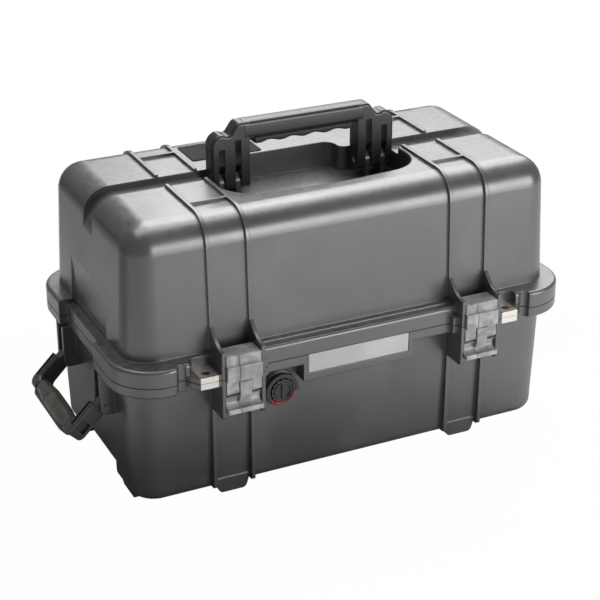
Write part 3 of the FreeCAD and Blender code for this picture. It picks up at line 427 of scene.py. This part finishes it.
@dataclass(frozen=True)
class GripRubber:
    """Soft rubber with a close pebble grain and a dull sheen."""

    name: str
    shade: Colour
    roughness: float
    pebble_scale: float = 900.0
    pebble_height: float = 0.3 * MM
    pebble_strength: float = 0.2
    cloud_scale: float = 40.0
    cloud_detail: float = 4.0
    cloud_span: Span = (0.45, 0.7)
    cloud_share: float = 0.5
    cloud_sheen: float = 0.2
    edge_radius: float = 0.8 * MM
    edge_share: float = 0.3
    rubbed_gain: float = 1.8
    rubbed_lift: float = 0.01
    gloss: float = 0.45

    def material(self) -> bpy.types.Material:
        """Build the finish.

        Returns:
            The material.
        """
        made, bench = new_bench(self.name)
        cloud = bench.noise(self.cloud_scale, self.cloud_detail)
        inputs = {"Vector": bench.place(), "Scale": self.pebble_scale}
        pebbles = bench.wire(bench.node("ShaderNodeTexVoronoi", None, inputs))
        rounded, edge = bench.soft_edges(self.edge_radius)
        rubbed = cloud.band(*self.cloud_span) * self.cloud_share + edge * self.edge_share
        pale = scaled(self.shade, self.rubbed_gain, self.rubbed_lift)
        bench.surface(
            Base_Color=bench.blend(rubbed.band(0.0, 1.0), self.shade, pale),
            Roughness=self.roughness + (cloud - NOISE_MIDDLE) * self.cloud_sheen,
            Normal=bench.bump(pebbles, self.pebble_height, self.pebble_strength, rounded),
            Specular_IOR_Level=self.gloss,
        )
        return made


@dataclass(frozen=True)
class BrushedStainless:
    """Stainless steel with brush lines along X, faint handling marks and painted shade in its
    holes.
    """

    name: str
    shade: Colour
    roughness: float
    brush_scale: float = 300.0
    brush_detail: float = 4.0
    brush_stretch: Place = (1.0, 14.0, 14.0)
    brush_span: Span = (0.3, 0.7)
    brush_gain: float = 0.82
    brush_sheen: float = 0.18
    brush_height: float = 0.05 * MM
    brush_strength: float = 0.25
    smear_scale: float = 90.0
    smear_detail: float = 3.0
    smear_sheen: float = 0.16
    edge_radius: float = 0.6 * MM
    edge_sheen: float = 0.08
    # Painted shade in holes: colour, reach, span and samples of the occlusion darkening.
    hole_shade_colour: Colour = (0.03, 0.022, 0.016)
    hole_shade_reach: float = 9.0 * MM
    hole_shade_span: Span = (0.35, 0.85)
    hole_shade_samples: int = 8

    def painted_hole_shade(self, bench: ShaderBench) -> Wire:
        """Mask of the painted shade where the piece closes round itself.

        Args:
            bench: the material's bench.

        Returns:
            1 deep in a hole, 0 in the open.
        """
        settings = {"only_local": True, "samples": self.hole_shade_samples}
        inputs = {"Distance": self.hole_shade_reach}
        shelter = bench.node("ShaderNodeAmbientOcclusion", settings, inputs)
        return 1 - bench.wire(shelter, "AO").band(*self.hole_shade_span)

    def material(self) -> bpy.types.Material:
        """Build the finish.

        Returns:
            The material.
        """
        made, bench = new_bench(self.name)
        brush = bench.noise(self.brush_scale, self.brush_detail, self.brush_stretch)
        smear = bench.noise(self.smear_scale, self.smear_detail)
        rounded, edge = bench.soft_edges(self.edge_radius)
        dark = scaled(self.shade, self.brush_gain)
        steel = bench.blend(brush.band(*self.brush_span), dark, self.shade)
        sheen = self.roughness + (brush - NOISE_MIDDLE) * self.brush_sheen
        sheen = sheen + (smear - NOISE_MIDDLE) * self.smear_sheen - edge * self.edge_sheen
        bench.surface(
            # Painted shade: the steel is darkened where its own ambient occlusion is high, in holes
            # and creases.
            Base_Color=bench.blend(self.painted_hole_shade(bench), steel, self.hole_shade_colour),
            Roughness=sheen,
            Metallic=1.0,
            Normal=bench.bump(brush, self.brush_height, self.brush_strength, rounded),
        )
        return made


@dataclass(frozen=True)
class SiliconeRing:
    """Coloured silicone rubber with a waxy sheen and a little dust."""

    name: str
    shade: Colour
    roughness: float = 0.38
    dust_scale: float = 700.0
    dust_detail: float = 5.0
    dust_span: Span = (0.55, 0.8)
    dust_share: float = 0.4
    dust_gain: float = 0.5
    dust_lift: float = 0.08
    dust_sheen: float = 0.2
    dust_height: float = 0.08 * MM
    dust_strength: float = 0.15

    def material(self) -> bpy.types.Material:
        """Build the finish.

        Returns:
            The material.
        """
        made, bench = new_bench(self.name)
        dust = bench.noise(self.dust_scale, self.dust_detail)
        share = dust.band(*self.dust_span) * self.dust_share
        dusty = scaled(self.shade, self.dust_gain, self.dust_lift)
        bench.surface(
            Base_Color=bench.blend(share, self.shade, dusty),
            Roughness=self.roughness + (dust - NOISE_MIDDLE) * self.dust_sheen,
            Normal=bench.bump(dust, self.dust_height, self.dust_strength),
        )
        return made


class Plastic(Enum):
    """Finishes of the moulded pieces."""

    CASE = MouldedPlastic(
        "case_plastic_grained", (0.042, 0.042, 0.043), grey(0.22), 0.34, gloss=1.0, refraction=1.7,
        # The case's upward faces carry dust that is partly painted top light.
        grain_strength=0.08, edge_radius=1.4 * MM, cloud_gain=1.5, dust_and_top_light_share=0.4,
        # Height of the painted shadow band along the parting gap.
        shadow_gap_height=0.1582,
    )
    LATCH = MouldedPlastic(
        "latch_plastic_satin", grey(0.27), grey(0.7), 0.34, scuff_share=1.0, edge_share=0.8,
        cloud_scale=70.0, cloud_gain=2.0,
    )
    HANDLE = MouldedPlastic(
        "handle_plastic_satin", (0.014, 0.014, 0.015), grey(0.14), 0.3, grain_strength=0.06
    )
    # Painted light: a lighter copy of the handle plastic, lightened to offset the shade that falls
    # on the case's ends.
    END_FRAME_LIGHTENED = MouldedPlastic("end_frame_plastic_lightened", (0.055, 0.053, 0.05), (0.22, 0.22, 0.21), 0.3)
    VALVE = MouldedPlastic("valve_plastic_satin", (0.016, 0.018, 0.02), grey(0.1), 0.4)
    NAMEPLATE = MouldedPlastic(
        "nameplate_plastic_bare", grey(0.52), grey(0.65), 0.45, scuff_share=0.5
    )
    LABEL = MouldedPlastic("label_film_bare", grey(0.012), grey(0.08), 0.65, gloss=0.15)


class Rubber(Enum):
    """Finishes of the rubber pieces."""

    GRIP = GripRubber("grip_rubber_pebbled", (0.017, 0.017, 0.016), 0.5)
    SLEEVE = GripRubber("sleeve_rubber_glossy", (0.1, 0.092, 0.082), 0.24)
    SEAL = GripRubber("seal_rubber_soft", grey(0.03), 0.62)


class Fittings(Enum):
    """Finishes of the metal and coloured fittings."""

    STAINLESS = BrushedStainless("stainless_brushed", (0.86, 0.81, 0.75), 0.44)
    PIN = BrushedStainless("pin_steel_dulled", (0.2, 0.19, 0.18), 0.5)
    RING = SiliconeRing("ring_silicone_red", (0.5, 0.02, 0.03))


Finish = Union[Plastic, Rubber, Fittings]
_mixed: dict[str, bpy.types.Material] = {}


def material_of(finish: Finish) -> bpy.types.Material:
    """Material of a finish, built once.

    Args:
        finish: the named finish.

    Returns:
        The material.
    """
    if finish.value.name not in _mixed:
        _mixed[finish.value.name] = finish.value.material()
    return _mixed[finish.value.name]


def dress_node(node: str, finish: Finish) -> None:
    """Give a CAD node its finish.

    Args:
        node: the node's name.
        finish: the named finish.
    """
    for slot in frame["nodes"][node].material_slots:
        slot.material = material_of(finish)
    log.info("dressed %s as %s", node, finish.value.name)


class ShapeBench(NodeBench):
    """One Geometry Nodes tree with named sizes that is turned into a plain mesh."""

    def __init__(self, name: str) -> None:
        """Start an empty tree.

        Args:
            name: name of the tree and of the piece that it makes.
        """
        super().__init__(bpy.data.node_groups.new(name, "GeometryNodeTree"))
        self.name = name
        self.sizes: dict[str, Union[int, float]] = {}
        self.entry = self.tree.nodes.new("NodeGroupInput")

    def size(self, label: str, value: Union[int, float]) -> Wire:
        """Add a named input of the tree.

        Args:
            label: the input's name.
            value: the size in metres, or a count.

        Returns:
            The input's value.
        """
        kind = "NodeSocketInt" if isinstance(value, int) else "NodeSocketFloat"
        socket = self.tree.interface.new_socket(label, in_out="INPUT", socket_type=kind)
        self.sizes[socket.identifier] = value
        return self.wire(self.entry, label)

    def along(self, axis: str) -> Wire:
        """Position of each point on one axis, X, Y or Z."""
        return self.part_of(self.node("GeometryNodeInputPosition").outputs[0], axis)

    def vector(self, **axes: Any) -> bpy.types.NodeSocket:
        """Vector from the values of its axes, 0 where none is given."""
        return self.node("ShaderNodeCombineXYZ", None, axes).outputs[0]

    def line(self, axis: str, length: Wire, points: Wire) -> bpy.types.NodeSocket:
        """Straight path through the origin, centred on it.

        Args:
            axis: X or Y.
            length: the path's length.
            points: how many points it has.

        Returns:
            The path.
        """
        way = (1.0, 0.0, 0.0) if axis == "X" else (0.0, 1.0, 0.0)
        start = self.vector(**{axis: length * -0.5})
        inputs = {"Start": start, "Direction": way, "Length": length}
        path = self.node("GeometryNodeCurvePrimitiveLine", {"mode": "DIRECTION"}, inputs)
        inputs = {"Curve": path.outputs[0], "Count": points}
        return self.node("GeometryNodeResampleCurve", {"mode": "COUNT"}, inputs).outputs[0]

    def oblong(self, width: Wire, height: Wire, corner: Wire, steps: int) -> bpy.types.NodeSocket:
        """Closed rectangle with rounded corners.

        Args:
            width: size along X.
            height: size along Y.
            corner: corner radius.
            steps: points on each corner.

        Returns:
            The outline.
        """
        inputs = {"Width": width, "Height": height}
        settings = {"mode": "RECTANGLE"}
        plain = self.node("GeometryNodeCurvePrimitiveQuadrilateral", settings, inputs)
        inputs = {"Curve": plain.outputs[0], "Radius": corner, "Count": steps, "Limit Radius": True}
        return self.node("GeometryNodeFilletCurve", {"mode": "POLY"}, inputs).outputs[0]

    def disc(self, radius: Any, steps: Any) -> bpy.types.NodeSocket:
        """Circle of a radius and a number of points."""
        inputs = {"Radius": radius, "Resolution": steps}
        return self.node("GeometryNodeCurvePrimitiveCircle", {"mode": "RADIUS"}, inputs).outputs[0]

    def sweep(
        self, path: bpy.types.NodeSocket, section: bpy.types.NodeSocket, scale: Any = 1.0
    ) -> bpy.types.NodeSocket:
        """Carry a section along a path, its height kept upright.

        Args:
            path: the path.
            section: the outline that follows it.
            scale: size of the outline at each point of the path.

        Returns:
            The closed skin.
        """
        level = self.node("GeometryNodeSetCurveNormal", {"mode": "Z_UP"}, {"Curve": path})
        inputs = {"Curve": level.outputs[0], "Profile Curve": section}
        inputs |= {"Scale": scale, "Fill Caps": True}
        return self.node("GeometryNodeCurveToMesh", None, inputs).outputs[0]

    def shift(
        self, shape: bpy.types.NodeSocket, offset: bpy.types.NodeSocket
    ) -> bpy.types.NodeSocket:
        """Move each point of a shape by a vector that may vary."""
        inputs = {"Geometry": shape, "Offset": offset}
        return self.node("GeometryNodeSetPosition", None, inputs).outputs[0]

    def piece(
        self,
        shape: bpy.types.NodeSocket,
        finish: Finish,
        place: Sequence[float],
        turn: Place = (0.0, 0.0, 0.0),
    ) -> bpy.types.Object:
        """End the tree and turn its result into a plain mesh object.

        Args:
            shape: the finished geometry.
            finish: the named finish.
            place: where the shape's origin goes.
            turn: rotation about the axes in radians.

        Returns:
            The piece, at the origin with its place in its mesh.
        """
        inputs = {"Geometry": shape, "Translation": tuple(place), "Rotation": turn}
        set_down = self.node("GeometryNodeTransform", {"mode": "COMPONENTS"}, inputs)
        inputs = {"Geometry": set_down.outputs[0]}
        whole = self.node("GeometryNodeRealizeInstances", None, inputs)
        inputs = {"Geometry": whole.outputs[0], "Material": material_of(finish)}
        dressed = self.node("GeometryNodeSetMaterial", None, inputs)
        self.tree.interface.new_socket(
            "Geometry", in_out="OUTPUT", socket_type="NodeSocketGeometry"
        )
        self.node("NodeGroupOutput", None, {0: dressed.outputs[0]})
        made = bpy.data.objects.new(self.name, self._closed_mesh())
        bpy.context.scene.collection.objects.link(made)
        log.info("made %s, %d faces", self.name, len(made.data.polygons))
        return made

    def _closed_mesh(self) -> bpy.types.Mesh:
        """Evaluate the tree once and close the seams of its mesh.

        Returns:
            The plain mesh, its faces outwards.
        """
        carrier = bpy.data.objects.new("carrier", bpy.data.meshes.new("carrier"))
        bpy.context.scene.collection.objects.link(carrier)
        modifier = carrier.modifiers.new("shape", "NODES")
        modifier.node_group = self.tree
        for identifier, value in self.sizes.items():
            modifier[identifier] = value
        shown = carrier.evaluated_get(bpy.context.evaluated_depsgraph_get())
        mesh = bpy.data.meshes.new_from_object(shown)
        bpy.data.objects.remove(carrier)
        skin = bmesh.new()
        skin.from_mesh(mesh)
        bmesh.ops.remove_doubles(skin, verts=skin.verts, dist=MERGE_DISTANCE)
        bmesh.ops.recalc_face_normals(skin, faces=skin.faces)
        skin.to_mesh(mesh)
        skin.free()
        mesh.shade_smooth()
        mesh.set_sharp_from_angle(angle=SHARP_ANGLE)
        return mesh


def set_on(piece: bpy.types.Object, body: str, slot: str, *stands_for: str) -> None:
    """Seat a piece on a body.

    Args:
        piece: the finished piece.
        body: the CAD body that carries it.
        slot: the record's material slot; not used.
        stands_for: CAD nodes that the piece takes the place of.
    """
    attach(piece, body)
    if stands_for:
        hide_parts(*stands_for)


def middle_of(node: str) -> Vector:
    """Middle of a CAD node's box."""
    low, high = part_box(node)
    return (Vector(low) + Vector(high)) / 2


@dataclass
class CaseShells:
    """Base tub and deep lid with their seal, nameplate and bare label."""

    shells: tuple[str, ...] = ("base_shell", "lid_shell")
    seal_radius: float = 2.6 * MM
    seal_steps: int = 20
    seal_corner: float = 34.0 * MM
    corner_steps: int = 24

    def build(self) -> None:
        """Sweep the round seal along the lid's rim groove."""
        low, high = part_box("lid_seal")
        bench = ShapeBench("lid_seal_cord")
        length = bench.size("Rim length", high[0] - low[0] - 2 * self.seal_radius)
        width = bench.size("Rim width", high[1] - low[1] - 2 * self.seal_radius)
        corner = bench.size("Rim corner", self.seal_corner)
        path = bench.oblong(length, width, corner, self.corner_steps)
        section = bench.disc(bench.size("Seal radius", self.seal_radius), self.seal_steps)
        seal = bench.piece(bench.sweep(path, section), Rubber.SEAL, middle_of("lid_seal"))
        set_on(seal, "lid", "seal_rubber", "lid_seal")

    def dress(self) -> None:
        """Finish the moulded shells and the pieces set into them."""
        for node in self.shells:
            dress_node(node, Plastic.CASE)
        dress_node("front_nameplate", Plastic.NAMEPLATE)
        dress_node("lid_label", Plastic.LABEL)


@dataclass
class DrawLatch:
    """One draw latch: lever, hook and their pins."""

    side: str

    def dress(self) -> None:
        """Finish the latch's pieces."""
        for node in ("lever", "hook"):
            dress_node(f"latch_{self.side}_{node}", Plastic.LATCH)
            dress_node(f"latch_{self.side}_{node}_pin", Fittings.STAINLESS)


@dataclass
class SideHardware:
    """Padlock plates, hinge pin and top-handle pin of one side."""

    side: str

    def dress(self) -> None:
        """Finish the side's steel."""
        for node in ("padlock_plate_lid", "padlock_plate_base", "hinge_pin", "top_handle_pin"):
            dress_node(f"{node}_{self.side}", Fittings.STAINLESS)


@dataclass
class TopHandle:
    """Folding top handle: its moulded frame, flush bar and wavy grip insert."""

    bar_length: float = 144.0 * MM
    bar_height: float = 20.5 * MM
    bar_edge: float = 5.0 * MM
    bar_edge_steps: int = 8
    bar_proud: float = 0.3 * MM
    bar_points: int = 30
    insert_length: float = 117.0 * MM
    insert_depth: float = 17.0 * MM
    insert_height: float = 8.0 * MM
    insert_edge: float = 2.6 * MM
    insert_edge_steps: int = 6
    insert_overlap: float = 1.2 * MM
    insert_points: int = 120
    finger_pitch: float = 27.0 * MM
    finger_rise: float = 2.4 * MM
    finger_span: Span = (-0.4, 0.2)

    def build(self) -> None:
        """Make the bar that closes the arch and the insert under it."""
        self._bar()
        self._insert()

    def _bar(self) -> None:
        """Sweep the bar a little proud of the frame, so that no faces coincide."""
        low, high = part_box("top_handle_frame")
        bench = ShapeBench("top_handle_bar")
        length = bench.size("Length", self.bar_length)
        path = bench.line("X", length, bench.size("Points", self.bar_points))
        depth = bench.size("Depth", high[1] - low[1] + 2 * self.bar_proud)
        height = bench.size("Height", self.bar_height)
        edge = bench.size("Edge", self.bar_edge)
        section = bench.oblong(depth, height, edge, self.bar_edge_steps)
        level = high[2] + self.bar_proud - self.bar_height / 2
        bar = bench.piece(bench.sweep(path, section), Plastic.HANDLE, (0.0, 0.0, level))
        set_on(bar, "top_handle", "handle_plastic")

    def _insert(self) -> None:
        """Sweep the insert and lift its underside into finger waves."""
        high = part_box("top_handle_frame")[1]
        bench = ShapeBench("top_handle_insert")
        length = bench.size("Length", self.insert_length)
        path = bench.line("X", length, bench.size("Points", self.insert_points))
        depth = bench.size("Depth", self.insert_depth)
        height = bench.size("Height", self.insert_height)
        edge = bench.size("Edge", self.insert_edge)
        section = bench.oblong(depth, height, edge, self.insert_edge_steps)
        wave = 0.5 - (bench.along("X") * (2 * math.pi / self.finger_pitch)).cosine() * 0.5
        low_side, high_side = (share * self.insert_height for share in self.finger_span)
        lower = 1 - bench.along("Z").band(low_side, high_side)
        lift = wave * lower * bench.size("Finger rise", self.finger_rise)
        shape = bench.shift(bench.sweep(path, section), bench.vector(Z=lift))
        level = high[2] - self.bar_height - self.insert_height / 2 + self.insert_overlap
        insert = bench.piece(shape, Rubber.GRIP, (0.0, 0.0, level))
        set_on(insert, "top_handle", "grip_rubber", "top_handle_grip")

    def dress(self) -> None:
        """Finish the frame."""
        dress_node("top_handle_frame", Plastic.HANDLE)


@dataclass
class EndHandle:
    """Swinging handle on one end of the case: its frame, ringed sleeve, spine and pins."""

    side: str
    sleeve_radius: float = 11.4 * MM
    sleeve_end_radius: float = 9.2 * MM
    sleeve_inset: float = 1.0 * MM
    sleeve_taper: Span = (0.35, 1.05)
    sleeve_points: int = 240
    sleeve_steps: int = 40
    ring_pitch: float = 30.0 * MM
    ring_width: float = 1.5 * MM
    ring_depth: float = 0.8 * MM
    ring_span: Span = (0.25, 0.6)
    spine_length: float = 124.0 * MM
    spine_reach: float = 9.0 * MM
    spine_thickness: float = 3.6 * MM
    spine_width: float = 12.5 * MM
    spine_bow: Span = (0.34, 0.5)
    spine_points: int = 80
    spine_edge_share: float = 0.4
    spine_edge_steps: int = 5

    def grip(self) -> str:
        """Name of the handle's CAD grip."""
        return f"{self.side}_handle_grip"

    def outward(self) -> Vector:
        """Direction from the handle's pivot to its grip.

        Returns:
            The direction, of length 1.
        """
        name = f"{self.side}_handle_swing"
        joints = frame["record"]["behaviour"]["joints"]
        pivot = next(joint["pos_m"] for joint in joints if joint["name"] == name)
        return (middle_of(self.grip()) - Vector(pivot)).normalized()

    def build(self) -> None:
        """Make the sleeve on the bar and the spine outside it."""
        out = self.outward()
        turn = (0.0, math.atan2(-out.z, out.x), 0.0)
        self._sleeve(out, turn)
        self._spine(turn)

    def _sleeve(self, out: Vector, turn: Place) -> None:
        """Sweep the sleeve, thinner at its ends and with two rings cut into it.

        Args:
            out: direction from the pivot to the grip.
            turn: rotation that points the section outwards.
        """
        low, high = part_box(self.grip())
        half = (high[1] - low[1]) / 2
        bench = ShapeBench(f"{self.side}_handle_sleeve")
        length = bench.size("Length", 2 * half)
        path = bench.line("Y", length, bench.size("Points", self.sleeve_points))
        along = abs(bench.along("Y"))
        ring_low, ring_high = (share * self.ring_width for share in self.ring_span)
        ring = 1 - abs(along - self.ring_pitch / 2).band(ring_low, ring_high)
        thin_from, thin_to = (share * half for share in self.sleeve_taper)
        taper = along.band(thin_from, thin_to) * (self.sleeve_radius - self.sleeve_end_radius)
        radius = bench.size("Radius", self.sleeve_radius) - taper
        radius = radius - ring * bench.size("Ring depth", self.ring_depth)
        shape = bench.sweep(path, bench.disc(1.0, self.sleeve_steps), radius)
        place = middle_of(self.grip()) - out * self.sleeve_inset
        sleeve = bench.piece(shape, Rubber.SLEEVE, place, turn)
        set_on(sleeve, f"{self.side}_handle", "grip_rubber", self.grip())

    def _spine(self, turn: Place) -> None:
        """Sweep the bowed strap that runs outside the sleeve.

        Args:
            turn: rotation that points the section outwards.
        """
        bench = ShapeBench(f"{self.side}_handle_spine")
        length = bench.size("Length", self.spine_length)
        path = bench.line("Y", length, bench.size("Points", self.spine_points))
        reach = bench.size("Reach", self.spine_reach)
        bow_from, bow_to = (share * self.spine_length for share in self.spine_bow)
        bow = 1 - abs(bench.along("Y")).band(bow_from, bow_to)
        path = bench.shift(path, bench.vector(X=bow * reach))
        thick = bench.size("Thickness", self.spine_thickness)
        width = bench.size("Width", self.spine_width)
        edge = bench.size("Edge", self.spine_edge_share * self.spine_thickness)
        section = bench.oblong(thick, width, edge, self.spine_edge_steps)
        shape = bench.sweep(path, section)
        spine = bench.piece(shape, Plastic.END_FRAME_LIGHTENED, middle_of(self.grip()), turn)
        set_on(spine, f"{self.side}_handle", "handle_plastic")

    def dress(self) -> None:
        """Finish the frame and the pins."""
        dress_node(f"{self.side}_handle_frame", Plastic.END_FRAME_LIGHTENED)
        dress_node(f"{self.side}_handle_pins", Fittings.PIN)


@dataclass
class PurgeValve:
    """Purge valve with its knob and red ring."""

    ring_section: float = 1.5 * MM
    ring_points: int = 72
    section_steps: int = 16

    def build(self) -> None:
        """Sweep the ring that seals the knob."""
        low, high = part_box("valve_o_ring")
        bench = ShapeBench("valve_red_ring")
        radius = bench.size("Ring radius", (high[0] - low[0]) / 2 - self.ring_section)
        path = bench.disc(radius, bench.size("Points", self.ring_points))
        section = bench.disc(bench.size("Section radius", self.ring_section), self.section_steps)
        turn = (math.pi / 2, 0.0, 0.0)
        shape = bench.sweep(path, section)
        ring = bench.piece(shape, Fittings.RING, middle_of("valve_o_ring"), turn)
        set_on(ring, "base", "ring_rubber", "valve_o_ring")

    def dress(self) -> None:
        """Finish the valve's pieces."""
        for node in ("valve_body", "valve_knob", "valve_nut"):
            dress_node(node, Plastic.VALVE)


@dataclass
class Lamp:
    """One soft box: where it hangs, where it points, how large and how strong it is."""

    name: str
    place: Place
    aim: Place
    size: Span
    glow: float

    def build(self) -> None:
        """Hang the lamp."""
        data = bpy.data.lights.new(self.name, "AREA")
        data.shape = "RECTANGLE"
        data.size, data.size_y = self.size
        data.energy = self.glow * math.pi * self.size[0] * self.size[1]
        lamp = bpy.data.objects.new(self.name, data)
        lamp.visible_camera = False
        lamp.location = self.place
        aim = Vector(self.aim) - Vector(self.place)
        lamp.rotation_euler = aim.to_track_quat("-Z", "Y").to_euler()
        bpy.context.scene.collection.objects.link(lamp)
        log.info("hung %s", self.name)


@dataclass
class Studio:
    """Pale floor, white surround, soft boxes and the camera."""

    floor_half: float = 30.0
    # Painted shade of the floor near the case, seen in reflections and bounce light.
    floor_painted_shade: Colour = grey(0.28)
    floor_open: Colour = grey(0.9)
    floor_white_share: float = 0.985
    case_half: Span = (0.27, 0.16)
    rear_span: Span = (0.05, 0.3)
    front_span: Span = (0.04, 0.24)
    left_span: Span = (0.14, 0.28)
    left_share: float = 0.85
    right_span: Span = (-0.15, 0.2)
    right_share: float = 0.9
    behind_span: Span = (-0.05, 0.05)
    lens: float = 96.96
    sensor_width: float = 36.0
    clip_end: float = 100.0
    target: Place = (-0.00272, -0.00346, 0.14903)
    back: Place = (-0.3906, -0.8149, 0.4283)
    distance: float = 1.8661
    world_light: float = 0.1
    world_gloss: float = 0.2
    lamps: list[Lamp] = field(default_factory=lambda: [
        Lamp("key_box", (0.95, 1.25, 1.75), (0.0, 0.0, 0.25), (1.9, 1.9), 3.8),
        Lamp("top_box", (-0.05, 0.4, 2.3), (-0.05, 0.1, 0.25), (2.4, 1.5), 2.4),
        Lamp("front_box", (1.02, -1.91, 0.58), (0.0, -0.1, 0.2), (1.8, 1.0), 4.7),
    ])

    def camera(self) -> None:
        """Place the camera at the photograph's viewing angle."""
        data = bpy.data.cameras.new("studio_camera")
        data.lens = self.lens
        data.sensor_width = self.sensor_width
        data.clip_end = self.clip_end
        camera = bpy.data.objects.new("studio_camera", data)
        back = Vector(self.back).normalized()
        camera.location = Vector(self.target) + back * self.distance
        camera.rotation_euler = (-back).to_track_quat("-Z", "Y").to_euler()
        bpy.context.scene.collection.objects.link(camera)
        bpy.context.scene.camera = camera

    def painted_floor_light(self, bench: ShaderBench) -> Wire:
        """Painted shade on the floor's colour: dim near the case, and dimmer to the left behind it.

        Args:
            bench: the floor material's bench.

        Returns:
            0 where the floor is dim, 1 where it is pale.
        """
        spot = bench.place()
        across, along = bench.part_of(spot, "X"), bench.part_of(spot, "Y")
        past = (abs(across) - self.case_half[0]).at_least(abs(along) - self.case_half[1])
        left = (-1 * across - self.case_half[0]).band(*self.left_span)
        right = across.band(*self.right_span)
        behind = along.band(*self.behind_span)
        rear = past.band(*self.rear_span) * (1 - left * self.left_share)
        front = past.band(*self.front_span).at_least(right * self.right_share)
        return front * (1 - behind) + rear * behind

    def floor(self) -> None:
        """Lay a pale floor that keeps the shadow and looks white elsewhere."""
        half = self.floor_half
        corners_xyz = [(-half, -half, 0), (half, -half, 0), (half, half, 0), (-half, half, 0)]
        mesh = bpy.data.meshes.new("studio_floor")
        mesh.from_pydata(corners_xyz, [], [(0, 1, 2, 3)])
        floor = bpy.data.objects.new("studio_floor", mesh)
        bpy.context.scene.collection.objects.link(floor)
        made, bench = new_bench("floor_white")
        # Painted shade: the floor's colour, seen only in reflections and bounce light, is dimmed
        # near the case and to the left behind it.
        colour = bench.blend(self.painted_floor_light(bench), self.floor_painted_shade, self.floor_open)
        matte = bench.node("ShaderNodeBsdfDiffuse", None, {"Color": colour})
        glow = bench.node("ShaderNodeEmission", None, {"Color": WHITE, "Strength": 1.0})
        seen = bench.wire(bench.node("ShaderNodeLightPath"), "Is Camera Ray")
        inputs = {0: seen * self.floor_white_share, 1: matte.outputs[0], 2: glow.outputs[0]}
        mixed = bench.node("ShaderNodeMixShader", None, inputs)
        bench.node("ShaderNodeOutputMaterial", None, {"Surface": mixed.outputs[0]})
        mesh.materials.append(made)

    def surround(self) -> None:
        """Fill the room with plain light that is white to the camera and dimmer in reflections."""
        world = bpy.data.worlds.new("studio_white")
        world.use_nodes = True
        bpy.context.scene.world = world
        bench = ShaderBench(world.node_tree)
        path = bench.node("ShaderNodeLightPath")
        mirrored = bench.wire(path, "Is Glossy Ray") * self.world_gloss
        seen = bench.wire(path, "Is Camera Ray").at_least(mirrored)
        seen = seen.at_least(bench.wire(path, "Is Transmission Ray"))
        strength = seen * (1.0 - self.world_light) + self.world_light
        inputs = {"Color": WHITE, "Strength": strength}
        light = bench.node("ShaderNodeBackground", None, inputs)
        bench.node("ShaderNodeOutputWorld", None, {"Surface": light.outputs[0]})

    def build(self) -> None:
        """Set up the whole studio."""
        self.camera()
        self.floor()
        self.surround()
        for lamp in self.lamps:
            lamp.build()
        bpy.context.scene.view_settings.view_transform = "Standard"


def main() -> None:
    """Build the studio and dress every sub-assembly."""
    logging.basicConfig(level=logging.INFO, format="%(name)s: %(message)s")
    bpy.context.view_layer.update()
    Studio().build()
    ends = [EndHandle(side) for side in SIDES]
    for group in [CaseShells(), TopHandle(), PurgeValve(), *ends]:
        group.build()
        group.dress()
    for side in SIDES:
        DrawLatch(side).dress()
        SideHardware(side).dress()


if __name__ == "__main__":
    main()
